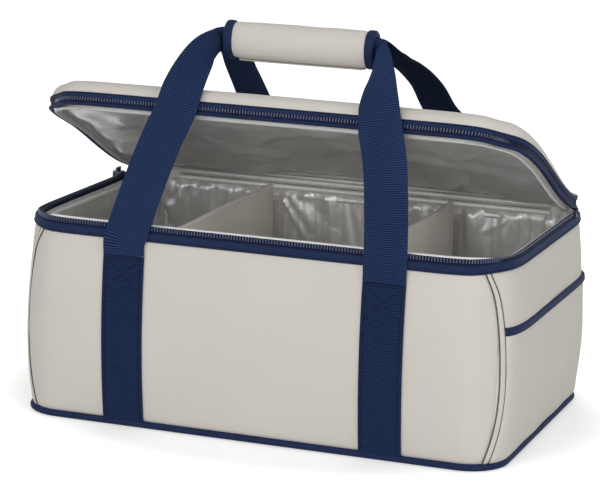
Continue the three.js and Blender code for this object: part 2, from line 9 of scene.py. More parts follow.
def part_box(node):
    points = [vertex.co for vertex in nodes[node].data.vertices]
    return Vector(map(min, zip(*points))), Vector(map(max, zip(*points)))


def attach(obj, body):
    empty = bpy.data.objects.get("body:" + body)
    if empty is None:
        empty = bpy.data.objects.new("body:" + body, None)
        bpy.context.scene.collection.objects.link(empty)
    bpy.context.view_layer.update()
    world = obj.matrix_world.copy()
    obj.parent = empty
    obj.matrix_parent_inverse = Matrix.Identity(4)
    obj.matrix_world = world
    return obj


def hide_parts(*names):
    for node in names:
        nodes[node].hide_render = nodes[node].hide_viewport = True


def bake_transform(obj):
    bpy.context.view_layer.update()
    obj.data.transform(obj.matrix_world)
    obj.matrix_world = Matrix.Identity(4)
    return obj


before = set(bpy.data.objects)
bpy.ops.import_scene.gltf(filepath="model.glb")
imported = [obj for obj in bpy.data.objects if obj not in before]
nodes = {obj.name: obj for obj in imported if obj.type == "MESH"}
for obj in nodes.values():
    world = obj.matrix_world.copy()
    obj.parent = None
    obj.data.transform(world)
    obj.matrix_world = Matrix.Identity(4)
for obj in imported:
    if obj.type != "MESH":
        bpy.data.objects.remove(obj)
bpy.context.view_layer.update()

scene = bpy.context.scene
print("frame loaded:", len(nodes), "nodes")

# the bag's own sizes, in metres: the rim's outline, the wall's swell and its layers
bag = {
    "halfLength": 0.218,
    "halfDepth": 0.142,
    "height": 0.180,
    "corner": 0.034,
    "bulge": 0.007,
    "taper": 0.0005,
    "cloth": 0.0012,
    "foam": 0.005,
    "lining": 0.0008,
    "gap": 0.0003,
    "foot": 0.0063,
}
foamInset = bag["cloth"] + bag["gap"]
liningInset = foamInset + bag["foam"] + bag["gap"]
wallInset = liningInset + bag["lining"]
runX = bag["halfLength"] - bag["corner"]
runY = bag["halfDepth"] - bag["corner"]
quarter = bag["corner"] * math.pi / 2

# the rim is walked counter-clockwise from the middle of the back: start, direction, bearing, turn, length
rimLegs = [
    (0, runY, -1, 0, 90, 0, runX),
    (-runX, runY, 0, 0, 90, 1, quarter),
    (-runX, runY, 0, -1, 180, 0, 2 * runY),
    (-runX, -runY, 0, 0, 180, 1, quarter),
    (-runX, -runY, 1, 0, 270, 0, 2 * runX),
    (runX, -runY, 0, 0, 270, 1, quarter),
    (runX, -runY, 0, 1, 360, 0, 2 * runY),
    (runX, runY, 0, 0, 360, 1, quarter),
    (runX, runY, -1, 0, 450, 0, runX),
]
rimTable = np.array(rimLegs)
rimMarks = np.concatenate([[0], np.cumsum(rimTable[:, 6])])
rimLength = rimMarks[-1]
cornerAt = {
    "backLeft": rimMarks[1] + quarter / 2,
    "frontLeft": rimMarks[3] + quarter / 2,
    "frontRight": rimMarks[5] + quarter / 2,
    "backRight": rimMarks[7] + quarter / 2,
}


def smooth(t):
    t = np.clip(t, 0, 1)
    return t * t * (3 - 2 * t)


def pinch(distance, reach):
    # 1 at the seam, fading to nothing beyond its reach
    return np.exp(-((distance / reach) ** 2))


def swell(z):
    t = z / bag["height"]
    return 4 * bag["bulge"] * t * (1 - t) - bag["taper"] * (1 - t) ** 2


def rimNormal(s):
    s = np.mod(np.asarray(s, float), rimLength)
    leg = np.clip(np.searchsorted(rimMarks, s, side="right") - 1, 0, len(rimLegs) - 1)
    row = rimTable[leg]
    along = s - rimMarks[leg]
    centre = np.stack([row[..., 0] + row[..., 2] * along, row[..., 1] + row[..., 3] * along], -1)
    bearing = np.radians(row[..., 4]) + row[..., 5] * along / bag["corner"]
    return centre, np.stack([np.cos(bearing), np.sin(bearing)], -1)


# the soft corners are rounder at the rim than at the floor
easing = {"frontLeft": 0.0045, "frontRight": 0.0075, "backLeft": 0.006, "backRight": 0.0065}
easingReach = 0.027
easingHeight = 0.150
# the lid is rounder still
lidEasing = {"frontLeft": 0.0105, "frontRight": 0.0105, "backLeft": 0.0100, "backRight": 0.0140}


def roundness(s, z):
    total = np.zeros(np.broadcast(s, z).shape)
    onLid = np.asarray(z) >= bag["height"]
    level = smooth(np.asarray(z) / easingHeight)
    for corner, depth in easing.items():
        apart = np.mod(s - cornerAt[corner] + rimLength / 2, rimLength) - rimLength / 2
        deep = np.where(onLid, lidEasing[corner], depth * level)
        total = total + deep * pinch(apart, easingReach)
    return total


def outline(s, offset, z):
    centre, normal = rimNormal(s)
    reach = bag["corner"] + np.asarray(offset, float) - roundness(s, z)
    return centre + normal * reach[..., None]


waveCount = 9


def wave(points, scale, seed):
    # smooth random waves between about -1 and 1, the same on every run
    dice = np.random.default_rng(seed)
    total = np.zeros(points.shape[:-1])
    for _ in range(waveCount):
        direction = dice.normal(size=points.shape[-1])
        direction /= np.linalg.norm(direction)
        pitch = scale * dice.uniform(0.6, 1.7)
        total += np.sin(points @ direction * 2 * math.pi / pitch + dice.uniform(0, 2 * math.pi))
    return total / math.sqrt(waveCount)


# finishes


class Wire:
    # a shader socket that takes part in sums
    def __init__(self, wiring, socket):
        self.wiring = wiring
        self.socket = socket

    def sum(self, operation, a, b):
        return self.wiring.make("ShaderNodeMath", {"operation": operation}, {0: a, 1: b})

    def most(self, other):
        return self.sum("MAXIMUM", self, other)

    def __add__(self, other):
        return self.sum("ADD", self, other)

    def __radd__(self, other):
        return self.sum("ADD", other, self)

    def __sub__(self, other):
        return self.sum("SUBTRACT", self, other)

    def __rsub__(self, other):
        return self.sum("SUBTRACT", other, self)

    def __mul__(self, other):
        return self.sum("MULTIPLY", self, other)

    def __rmul__(self, other):
        return self.sum("MULTIPLY", other, self)


class Wiring:
    # the nodes of one tree
    def __init__(self, tree):
        self.tree = tree

    def make(self, kind, settings=None, sockets=None, out=0):
        node = self.tree.nodes.new(kind)
        for key, value in (settings or {}).items():
            setattr(node, key, value)
        for key, value in (sockets or {}).items():
            self.plug(node.inputs[key], value)
        return Wire(self, node.outputs[out])

    def plug(self, socket, value):
        if isinstance(value, Wire):
            self.tree.links.new(value.socket, socket)
        else:
            socket.default_value = value

    def seenRays(self):
        # 1 for the rays that see the studio: straight from the camera, or off metal and through glass
        kinds = ("Is Camera Ray", "Is Glossy Ray", "Is Transmission Ray")
        camera, glossy, clear = [self.make("ShaderNodeLightPath", out=kind) for kind in kinds]
        return camera.most(glossy).most(clear)


class Finish(Wiring):
    def __init__(self, name, colour, roughness, **constants):
        self.material = bpy.data.materials.new(name)
        self.material.use_nodes = True
        self.material.diffuse_color = (*colour, 1)
        super().__init__(self.material.node_tree)
        self.shader = self.tree.nodes["Principled BSDF"]
        self.shader.inputs["Base Color"].default_value = (*colour, 1)
        self.shader.inputs["Roughness"].default_value = roughness
        for socket, value in constants.items():
            self.shader.inputs[socket.replace("_", " ")].default_value = value

    def feed(self, name, wire):
        self.plug(self.shader.inputs[name], wire)

    def place(self):
        return self.make("ShaderNodeTexCoord", out="Object")

    def along(self):
        # distances along and across the cloth, in metres
        uv = self.make("ShaderNodeUVMap", {"uv_map": "cloth"})
        return [self.make("ShaderNodeSeparateXYZ", None, {0: uv}, out) for out in (0, 1)]

    def noise(self, scale, detail, roughness=0.5, stretch=None):
        where = self.place()
        if stretch:
            settings = {"operation": "MULTIPLY"}
            where = self.make("ShaderNodeVectorMath", settings, {0: where, 1: stretch})
        sockets = {"Vector": where, "Scale": scale, "Detail": detail, "Roughness": roughness}
        return self.make("ShaderNodeTexNoise", None, sockets)

    def ripple(self, distance, pitch):
        return self.make("ShaderNodeMath", {"operation": "SINE"}, {0: distance * (2 * math.pi / pitch)})

    def between(self, share, first, second):
        return self.make("ShaderNodeMix", {"data_type": "RGBA"}, {0: share, 6: first, 7: second}, 2)

    def tint(self, share, colour, tones):
        # from the darker to the lighter tone of one colour
        dark, light = [(*[channel * tone for channel in colour], 1) for tone in tones]
        self.feed("Base Color", self.between(share, dark, light))

    def bump(self, height, distance, strength):
        sockets = {"Strength": strength, "Distance": distance, "Height": height}
        self.feed("Normal", self.make("ShaderNodeBump", None, sockets))


# greige coated cloth: close plain weave, faint cloudiness, a dry sheen
canvasLook = {
    "colour": (0.600, 0.566, 0.520),
    "tones": (0.94, 1.05),
    "weave": 0.00055,
    "cloud": 11.0,
    "grain": 420.0,
}


def canvasFinish():
    finish = Finish("greige_canvas", canvasLook["colour"], 0.72, Sheen_Weight=0.12, Specular_IOR_Level=0.32)
    warp, weft = finish.along()
    weave = finish.ripple(warp, canvasLook["weave"]) * finish.ripple(weft, canvasLook["weave"])
    cloud = finish.noise(canvasLook["cloud"], 3.0)
    grain = finish.noise(canvasLook["grain"], 3.0, 0.7)
    finish.tint(cloud * 0.7 + grain * 0.3, canvasLook["colour"], canvasLook["tones"])
    finish.feed("Roughness", 0.64 + grain * 0.16)
    finish.bump(weave * 0.35 + grain * 0.9, 0.00012, 0.55)
    return finish.material


# navy binding and tape: fine grosgrain, slightly faded along the highs
trimLook = {
    "colour": (0.0115, 0.0215, 0.064),
    "tape": (0.0060, 0.0098, 0.028),
    "tones": (0.78, 1.35),
    "rib": 0.0007,
    "thread": 1.6,
    "cloud": 60.0,
}


def trimFinish(name, colour):
    finish = Finish(name, colour, 0.62, Specular_IOR_Level=0.10)
    run, across = finish.along()
    rib = finish.ripple(run, trimLook["rib"])
    thread = finish.ripple(across, trimLook["rib"] * trimLook["thread"])
    cloud = finish.noise(trimLook["cloud"], 3.0)
    finish.tint(cloud, colour, trimLook["tones"])
    finish.feed("Roughness", 0.52 + cloud * 0.2)
    finish.bump(rib * 0.6 + thread * 0.25 + cloud * 0.8, 0.00016, 0.6)
    return finish.material


# navy webbing: ribs across it in the mesh, twisted yarns within each rib, and a lighter copy of its colour
# that paints light on the front loop
webLook = {
    "colour": (0.0128, 0.0250, 0.071),
    # painted light: a lighter copy of the navy, for the front loop alone
    "paintedLight": (0.0178, 0.0346, 0.096),
    "tones": (0.5, 1.75),
    "yarn": 0.0012,
    "rib": 0.0019,
    "fuzz": 700.0,
    "wear": 35.0,
}


def webFinish(name, colour):
    finish = Finish(name, colour, 0.80, Specular_IOR_Level=0.05)
    run, across = finish.along()
    rib = finish.ripple(run, webLook["rib"])
    yarn = finish.ripple(across, webLook["yarn"]) * finish.ripple(run, webLook["rib"] / 2)
    fuzz = finish.noise(webLook["fuzz"], 3.0, 0.7)
    wear = finish.noise(webLook["wear"], 3.0)
    # the tone follows the ribs, lighter and darker along their pitch: painted light and shade on the ribs;
    # wear and fuzz vary it at random
    finish.tint(rib * 0.5 + wear * 0.25 + fuzz * 0.4 - 0.08, colour, webLook["tones"])
    finish.feed("Roughness", 0.6 + fuzz * 0.25)
    finish.bump(yarn * 0.5 + fuzz * 0.9, 0.00022, 0.7)
    return finish.material


# silver lining film: satin, with fine crumple
liningLook = {"colour": (0.655, 0.650, 0.640), "tones": (0.86, 1.12), "crumple": 75.0, "grain": 900.0}


def liningFinish():
    finish = Finish("silver_lining", liningLook["colour"], 0.42, Metallic=0.45, Specular_IOR_Level=0.6)
    crumple = finish.noise(liningLook["crumple"], 4.0, 0.6)
    grain = finish.noise(liningLook["grain"], 2.0)
    finish.tint(crumple, liningLook["colour"], liningLook["tones"])
    finish.feed("Roughness", 0.31 + crumple * 0.14 + grain * 0.08)
    finish.bump(crumple + grain * 0.06, 0.0015, 0.6)
    return finish.material


# divider cloth: matte brushed cover
dividerLook = {
    "colour": (0.80, 0.766, 0.69),
    "edge": (0.93, 0.91, 0.86),
    "tones": (0.88, 1.1),
    "nap": (1.0, 1.0, 0.35),
}


def brushedFinish():
    finish = Finish("divider_cloth", dividerLook["colour"], 0.86, Sheen_Weight=0.2, Specular_IOR_Level=0.25)
    cloud = finish.noise(24.0, 3.0)
    nap = finish.noise(1100.0, 2.0, 0.7, dividerLook["nap"])
    finish.tint(cloud * 0.5 + nap * 0.5, dividerLook["colour"], dividerLook["tones"])
    finish.feed("Roughness", 0.78 + nap * 0.16)
    finish.bump(nap, 0.00018, 0.6)
    return finish.material


def grainFinish(name, colour, roughness, grain, tones, gloss=None, relief=None, **constants):
    # one grain gives the tone, the roughness and the relief
    finish = Finish(name, colour, roughness, **constants)
    speck = finish.noise(*grain)
    finish.tint(speck, colour, tones)
    if gloss:
        finish.feed("Roughness", gloss[0] + speck * gloss[1])
    if relief:
        finish.bump(speck, *relief)
    return finish.material


# the lining's folded edge: paler and smoother than the lining along the rim; the lid's copy is darker,
# painted shade
edgeLook = {
    "rim": (0.78, 0.775, 0.76),
    # painted shade: a darker copy of the edge colour, for the lid
    "lid": (0.46, 0.458, 0.45),
    "grain": (300.0, 3.0),
    "tones": (0.86, 1.1),
    "relief": (0.0002, 0.5),
}


def edgeFinish(name, colour, roughness):
    grain, tones, relief = [edgeLook[key] for key in ("grain", "tones", "relief")]
    return grainFinish(name, colour, roughness, grain, tones, (roughness, 0.1), relief, Metallic=0.2)


def threadFinish(name, colour):
    grain, tones, relief = [threadLook[key] for key in ("grain", "tones", "relief")]
    return grainFinish(name, colour, 0.7, grain, tones, None, relief, Specular_IOR_Level=0.15)


foamLook = {
    "colour": (0.78, 0.765, 0.73),
    "roughness": 0.92,
    "grain": (1500.0, 2.0),
    "tones": (0.85, 1.08),
    "relief": (0.0003, 0.6),
}
boardLook = {
    "colour": (0.065, 0.065, 0.068),
    "roughness": 0.6,
    "grain": (500.0, 3.0),
    "tones": (0.8, 1.3),
    "gloss": (0.5, 0.2),
    "relief": (0.00015, 0.5),
}
# moulded zip teeth: navy, semi-gloss, paler in random patches
toothLook = {
    "colour": (0.050, 0.066, 0.126),
    "roughness": 0.36,
    "grain": (260.0, 2.0),
    "tones": (0.7, 1.6),
    "gloss": (0.28, 0.2),
    "Specular_IOR_Level": 0.55,
}
metalLook = {
    "colour": (0.060, 0.068, 0.092),
    "roughness": 0.34,
    "grain": (350.0, 4.0),
    "tones": (0.75, 1.25),
    "gloss": (0.26, 0.22),
    "relief": (0.00008, 0.4),
    "Metallic": 0.9,
}
hookLook = {
    "colour": (0.36, 0.352, 0.338),
    "roughness": 0.9,
    "grain": (1300.0, 2.0),
    "tones": (0.6, 1.6),
    "gloss": (0.8, 0.15),
    "relief": (0.0004, 0.8),
    "Sheen_Weight": 0.3,
}
threadLook = {
    "navy": (0.0030, 0.0052, 0.017),
    "taupe": (0.115, 0.098, 0.080),
    "grey": (0.085, 0.084, 0.082),
    "grain": (1800.0, 1.0),
    "tones": (0.7, 1.25),
    "relief": (0.0001, 0.5),
}

canvas = canvasFinish()
trim = trimFinish("navy_binding", trimLook["colour"])
zipTape = trimFinish("navy_zip_tape", trimLook["tape"])
web = webFinish("navy_webbing", webLook["colour"])
# painted light: the same webbing in a lighter colour, for the front loop
paintedLightWeb = webFinish("navy_webbing_painted_light", webLook["paintedLight"])
lining = liningFinish()
paleEdge = edgeFinish("pale_lining_edge", edgeLook["rim"], 0.40)
# painted shade: the lid's edge in the darker copy
shadedLidEdge = edgeFinish("lid_lining_edge", edgeLook["lid"], 0.40)
brightEdge = edgeFinish("bright_lining_roll", edgeLook["rim"], 0.20)
dividerCloth = brushedFinish()
dividerEdge = edgeFinish("divider_edge", dividerLook["edge"], 0.34)
foam = grainFinish("closed_cell_foam", **foamLook)
board = grainFinish("base_board", **boardLook)
teeth = grainFinish("navy_zip_teeth", **toothLook)
metal = grainFinish("dark_die_cast", **metalLook)
hook = grainFinish("hook_tape", **hookLook)
navyThread = threadFinish("navy_thread", threadLook["navy"])
seamThread = threadFinish("taupe_seam", threadLook["taupe"])
greyThread = threadFinish("grey_thread", threadLook["grey"])
print("finishes made")

# meshes

sharpFrom = math.radians(40.0)  # flatter folds than this are shaded smooth


def makePiece(name, points, faces, finish, body=None, uv=None, node=None):
    mesh = bpy.data.meshes.new(name)
    mesh.from_pydata(np.asarray(points, float).tolist(), [], faces)
    work = bmesh.new()
    work.from_mesh(mesh)
    bmesh.ops.recalc_face_normals(work, faces=work.faces)
    work.to_mesh(mesh)
    work.free()
    mesh.polygons.foreach_set("use_smooth", [True] * len(mesh.polygons))
    mesh.set_sharp_from_angle(angle=sharpFrom)
    if uv is not None:
        corners = np.empty(len(mesh.loops), int)
        mesh.loops.foreach_get("vertex_index", corners)
        layer = mesh.uv_layers.new(name="cloth")
        layer.data.foreach_set("uv", np.asarray(uv, float)[corners].ravel())
    mesh.materials.append(finish)
    piece = bpy.data.objects.new(name, mesh)
    scene.collection.objects.link(piece)
    if body:
        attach(piece, body)
    if node:
        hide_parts(node)
    return piece


def quads(rows, columns, closeRows=False, closeColumns=False, first=0):
    faces = []
    for i in range(rows if closeRows else rows - 1):
        for j in range(columns if closeColumns else columns - 1):
            here = first + i * columns
            there = first + (i + 1) % rows * columns
            k = (j + 1) % columns
            faces.append((here + j, there + j, there + k, here + k))
    return faces


def tubeFaces(count, sides):
    # rings of points joined one to the next, with both ends closed
    last = (count - 1) * sides
    ends = [tuple(range(sides)), tuple(range(last + sides - 1, last - 1, -1))]
    return quads(count, sides, False, True) + ends


def sheetFaces(rows, columns):
    # two layers of a grid with a closed border between them
    count = rows * columns
    border = [i * columns for i in range(rows)]
    border += [(rows - 1) * columns + j for j in range(1, columns)]
    border += [i * columns + columns - 1 for i in range(rows - 2, -1, -1)]
    border += list(range(columns - 2, 0, -1))
    edge = [(a, b, b + count, a + count) for a, b in zip(border, border[1:] + border[:1])]
    return quads(rows, columns) + quads(rows, columns, first=count) + edge


def layered(*grids):
    return np.concatenate([grid.reshape(-1, grid.shape[-1]) for grid in grids])


def gridNormals(grid):
    normals = np.cross(np.gradient(grid, axis=0), np.gradient(grid, axis=1))
    return normals / np.maximum(np.linalg.norm(normals, axis=-1, keepdims=True), 1e-12)


def clothPiece(name, node, grid, uv, thickness, finish, body):
    # a sheet with two faces, its good side first
    points = layered(grid, grid - gridNormals(grid) * thickness)
    return makePiece(name, points, sheetFaces(*grid.shape[:2]), finish, body, layered(uv, uv), node)


def sideShare(s):
    # nothing along the front and back, all of it along the sides
    return rimNormal(s)[1][..., 0] ** 2


def leftShare(s):
    # all of it along the left side only
    return sideShare(s) * (rimNormal(s)[1][..., 0] < 0)


rimStep = 0.003
wholeRim = np.linspace(0, rimLength, 460, endpoint=False)


def rimSamples(start, end):
    return np.linspace(start, end, int(math.ceil((end - start) / rimStep)) + 1)


def sweepRim(s, profile, swelling=True, sideLift=0.0, leftShift=(0.0, 0.0)):
    # a closed profile of (offset, height) points carried along the rim, or all round it
    offsets = np.array([p[0] for p in profile])[None, :]
    heights = np.array([p[1] for p in profile])[None, :]
    stand = offsets + (swell(heights) if swelling else 0)
    size = (len(s), len(profile))
    spread = np.broadcast_to(np.asarray(s)[:, None], size)
    left = leftShare(spread)
    flat = outline(spread, stand + leftShift[0] * left, heights)
    points = np.dstack([flat, heights + sideLift * sideShare(spread) + leftShift[1] * left])
    lengths = np.hypot(np.diff(offsets[0]), np.diff(heights[0]))
    around = np.concatenate([[0], np.cumsum(lengths)])
    uv = np.dstack([spread, np.broadcast_to(around, size)])
    faces = quads(*size, True, True) if s is wholeRim else tubeFaces(*size)
    return points.reshape(-1, 3), faces, uv.reshape(-1, 2)


def rimPiece(name, node, s, profile, finish, slot, *shape):
    points, faces, uv = sweepRim(s, profile, *shape)
    return makePiece(name, points, faces, finish, "bag", uv, node)


bandSteps = 4


def roundedBand(low, high, inner, outer, radius):
    # the outline of a band between two heights and two offsets, its outer edges rounded
    turns = [k / bandSteps * math.pi / 2 for k in range(bandSteps + 1)]
    points = [(inner, low)]
    for t in turns:
        points.append((outer - radius * (1 - math.sin(t)), low + radius * (1 - math.cos(t))))
    for t in turns:
        points.append((outer - radius * (1 - math.cos(t)), high - radius * (1 - math.sin(t))))
    return points + [(inner, high)]


def oval(offset, z, wide, tall, sides=14):
    turns = [2 * math.pi * k / sides for k in range(sides)]
    return [(offset + wide / 2 * math.cos(t), z + tall / 2 * math.sin(t)) for t in turns]


def ringRound(tangent, side, sides):
    up = np.cross(tangent, side)
    turns = np.arange(sides) * 2 * math.pi / sides
    return np.outer(np.cos(turns), side) + np.outer(np.sin(turns), up)


def tube(path, radius, sides):
    # a round cord along a line of points, with flat ends
    path = np.asarray(path, float)
    tangents = np.gradient(path, axis=0)
    tangents /= np.linalg.norm(tangents, axis=1, keepdims=True)
    side = np.cross(tangents[0], (0.3, 0.5, 0.8))
    loops = []
    for centre, tangent in zip(path, tangents):
        side = side - tangent * (side @ tangent)
        side /= np.linalg.norm(side)
        loops.append(centre + radius * ringRound(tangent, side, sides))
    return np.concatenate(loops), tubeFaces(len(path), sides)


def joined(parts):
    points, faces, start = [], [], 0
    for some, shapes in parts:
        points.append(some)
        faces += [tuple(i + start for i in shape) for shape in shapes]
        start += len(some)
    return np.concatenate(points), faces


def cordPiece(name, paths, radius, sides, finish):
    points, faces = joined([tube(path, radius, sides) for path in paths])
    return makePiece(name, points, faces, finish, "bag")


stitch = {"pitch": 0.0034, "length": 0.0026, "radius": 0.00042, "sides": 6}
stitchRings = [(-1.0, 0.35), (-0.6, 1.0), (0.6, 1.0), (1.0, 0.35)]


def lengthsAlong(line):
    return np.concatenate([[0], np.cumsum(np.linalg.norm(np.diff(line, axis=0), axis=1))])


def stitchRow(path):
    # short thread spindles along a line of points
    path = np.asarray(path, float)
    lengths = lengthsAlong(path)
    half = stitch["length"] / 2
    faces = tubeFaces(len(stitchRings), stitch["sides"])
    parts = []
    for place in np.arange(stitch["pitch"] / 2, lengths[-1], stitch["pitch"]):
        ends = [place - half, place, place + half]
        low, middle, high = [np.array([np.interp(e, lengths, path[:, k]) for k in range(3)]) for e in ends]
        tangent = high - low
        tangent /= np.linalg.norm(tangent)
        side = np.cross(tangent, (0.21, 0.43, 0.87))
        side /= np.linalg.norm(side)
        ring = ringRound(tangent, side, stitch["sides"])
        loops = [middle + tangent * t * half + stitch["radius"] * r * ring for t, r in stitchRings]
        parts.append((np.concatenate(loops), faces))
    return joined(parts)


def stitchPiece(name, paths, finish, body="bag"):
    points, faces = joined([stitchRow(path) for path in paths])
    return makePiece(name, points, faces, finish, body)


# rings of the rim's outline from its edge to a spine down the middle, for everything that lies flat
# the rings follow the corners as far in as edge
ringGrid = {"straight": 0.006, "cornerSteps": 9, "edge": 0.026}
spineHalf = bag["halfLength"] - bag["halfDepth"]


def ringSamples():
    samples = []
    for leg, length in enumerate(rimTable[:, 6]):
        steps = 2 * int(math.ceil(runX / ringGrid["straight"] / 2))
        if rimTable[leg, 5]:
            steps = ringGrid["cornerSteps"]
        if leg in (2, 6):
            steps = 2 * int(math.ceil(runY / ringGrid["straight"]))
        if leg == 4:
            steps = 2 * steps
        samples.append(rimMarks[leg] + np.arange(steps) / steps * length)
    return np.concatenate(samples)


ringS = ringSamples()


def rings(offset, insets, inward, z):
    edge = [outline(ringS, np.full(ringS.shape, offset - inset), z) for inset in insets]
    last = edge[-1]
    spine = np.stack([np.clip(last[:, 0], -spineHalf, spineHalf), np.zeros(len(last))], -1)
    flat = edge + [last + (spine - last) * k / inward for k in range(1, inward + 1)]
    return np.stack(flat, 1)


def slabPiece(name, top, bottom, finish, body=None, node=None):
    # two ring surfaces joined at their edges, with the doubled points of the spine made one
    rows, columns = top.shape[:2]
    count = rows * columns
    faces = quads(rows, columns, True) + quads(rows, columns, True, first=count)
    for i in range(rows):
        j = (i + 1) % rows
        faces.append((i * columns, j * columns, count + j * columns, count + i * columns))
    work = bmesh.new()
    corners = [work.verts.new(p) for p in layered(top, bottom)]
    for face in faces:
        work.faces.new([corners[i] for i in face])
    bmesh.ops.remove_doubles(work, verts=work.verts, dist=1e-5)
    bmesh.ops.dissolve_degenerate(work, dist=1e-6, edges=work.edges)
    work.verts.index_update()
    cleanPoints = [tuple(v.co) for v in work.verts]
    cleanFaces = [tuple(v.index for v in f.verts) for f in work.faces]
    work.free()
    uv = np.array(cleanPoints)[:, :2]
    return makePiece(name, cleanPoints, cleanFaces, finish, body, uv, node)


# loose cloth: the sheet is grown a little between its sewn edges, so that it buckles as lining does
film = {
    "frames": 26,
    "quality": 7,
    "mass": 0.25,
    "stretch": 12,
    "shear": 4,
    "bend": 0.02,
    "air": 3,
    "gravity": 0.15,
    "standOff": 0.0008,
    "ruffle": 0.0007,
    "rufflePitch": 0.03,
}


def settle(points, faces, sewn, growth):
    mesh = bpy.data.meshes.new("loose")
    mesh.from_pydata(np.asarray(points, float).tolist(), [], faces)
    sheet = bpy.data.objects.new("loose", mesh)
    scene.collection.objects.link(sheet)
    sheet.vertex_groups.new(name="sewn").add([int(i) for i in np.nonzero(sewn)[0]], 1.0, "REPLACE")
    fabric = sheet.modifiers.new("settle", "CLOTH")
    fabric.settings.quality = film["quality"]
    fabric.settings.mass = film["mass"]
    fabric.settings.tension_stiffness = film["stretch"]
    fabric.settings.compression_stiffness = film["stretch"]
    fabric.settings.shear_stiffness = film["shear"]
    fabric.settings.bending_stiffness = film["bend"]
    fabric.settings.air_damping = film["air"]
    fabric.settings.shrink_min = -growth
    fabric.settings.vertex_group_mass = "sewn"
    fabric.settings.effector_weights.gravity = film["gravity"]
    fabric.point_cache.frame_start = 1
    fabric.point_cache.frame_end = film["frames"]
    for step in range(1, film["frames"] + 1):
        scene.frame_set(step)
    state = bpy.context.evaluated_depsgraph_get()
    found = np.array([v.co for v in sheet.evaluated_get(state).data.vertices])
    scene.frame_set(1)
    bpy.data.objects.remove(sheet)
    bpy.data.meshes.remove(mesh)
    return found


def buckle(grid, growth, reach, seed, amount):
    # loose lining on a grid: sewn at its border, free to stand off its wall by at most reach
    normals = gridNormals(grid)
    rows, columns = grid.shape[:2]
    border = np.zeros((rows, columns), bool)
    border[[0, -1], :] = True
    border[:, [0, -1]] = True
    ruffle = film["standOff"] + film["ruffle"] * wave(grid, film["rufflePitch"], seed)
    start = grid + normals * ruffle[..., None] * ~border[..., None]
    found = settle(start.reshape(-1, 3), quads(rows, columns), border.ravel(), growth)
    moved = found.reshape(grid.shape) - grid
    lift = (moved * normals).sum(-1)
    slide = moved - normals * lift[..., None]
    return grid + slide + normals * (np.clip(lift, 0, reach) * amount)[..., None]


# base

base = {
    "piping": 0.006,
    "inward": 26,
    "roundReach": 0.002,
    "edgeShare": 0.35,
    "crumple": 0.0002,
    "pitch": 0.05,
    "calmReach": 0.02,
}
floorInset = bag["taper"] + base["piping"] / 2 + bag["gap"]
baseRows = [0.0, 0.0006, 0.002, 0.005, 0.010, 0.018, ringGrid["edge"]]
baseInsets = np.array(baseRows + [1.0] * base["inward"])


def baseSlab(name, node, offset, low, high, finish, crumple=0.0):
    flat = rings(offset, baseRows, base["inward"], low)
    rounded = np.minimum(1, baseInsets / base["roundReach"])[None, :]
    half = (high - low) / 2
    middle = (high + low) / 2
    full = base["edgeShare"] + (1 - base["edgeShare"]) * np.sqrt(rounded)
    rise = half * full * np.ones(flat.shape[:2])
    ruffle = crumple * wave(flat, base["pitch"], 11) * smooth(baseInsets / base["calmReach"])[None, :]
    top = np.dstack([flat, middle + rise + ruffle])
    bottom = np.dstack([flat, middle - rise])
    return slabPiece(name, top, bottom, finish, "bag", node)


linerLow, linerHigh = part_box("base_liner")
foamLow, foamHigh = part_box("base_foam")
linedOffset = linerHigh.x - bag["halfLength"]
baseSlab("base_cloth", "base_panel", -floorInset, 0.0, bag["cloth"], canvas)
padding = baseSlab("base_padding", "base_foam", linedOffset, foamLow.z, foamHigh.z, foam)
baseSlab(
    "base_lining", "base_liner", linedOffset, linerLow.z, linerHigh.z, lining,
    base["crumple"],
)
pipingShape = oval(-bag["taper"], base["piping"] / 2, base["piping"], base["piping"], 18)
rimPiece("base_piping_cord", "base_piping", wholeRim, pipingShape, trim, "navy_trim", False)
print("base made")

# walls: outer cloth between the corner welts, foam behind it, lining inside

wall = {
    "top": 0.1685,
    "low": 0.0042,
    "step": 0.004,
    "thick": 0.001,
    "tuck": 0.0011,
    "tuckReach": 0.0024,
    "footTuck": 0.0020,
    "footReach": 0.0026,
    "headTuck": 0.0012,
    "headReach": 0.0022,
    "bow": 0.014,
    "bowBack": 0.004,
    "hookAt": 0.94,
    "hookReach": 0.08,
    "weltHalf": 0.003,
    "weltProud": 0.0006,
    "weltEdge": 0.0012,
    "seamRadius": 0.00055,
    "puff": 0.0009,
    "puffReach": 0.02,
    "cloud": 0.0006,
    "cloudPitch": 0.11,
    "fineCloud": 0.00018,
    "finePitch": 0.035,
    "strapX": 0.1175,
    "strapPress": 0.0006,
    "strapReach": 0.021,
}
levels = np.linspace(wall["low"], wall["top"], int((wall["top"] - wall["low"]) / wall["step"]) + 1)
besideSeam = np.array([0.001, 0.002, 0.003])  # finer rows beside the seams
levels = np.sort(np.concatenate([levels, wall["low"] + besideSeam, wall["top"] - besideSeam[:2]]))
bowSign = {"backLeft": 1, "frontLeft": -1, "frontRight": 1, "backRight": -1}
weltHook = {"backLeft": 0.0045, "frontLeft": 0.009, "frontRight": 0.0045, "backRight": 0.0045}
wallEnds = {
    "front": ("frontLeft", "frontRight"),
    "right": ("frontRight", "backRight"),
    "back": ("backRight", "backLeft"),
    "left": ("backLeft", "frontLeft"),
}


def weltAt(corner, z):
    # the welt bows towards the side at half height and hooks back under the rim
    t = z / bag["height"]
    bow = wall["bow"] * (1 - np.abs(2 * t - 1) ** 2.5) - wall["bowBack"]
    back = weltHook[corner] * pinch(t - wall["hookAt"], wall["hookReach"])
    return cornerAt[corner] + bowSign[corner] * (bow - back)


def wallSpan(side, z, margin):
    first, last = wallEnds[side]
    end = weltAt(last, z) + (rimLength if cornerAt[last] < cornerAt[first] else 0)
    return weltAt(first, z) + margin, end - margin


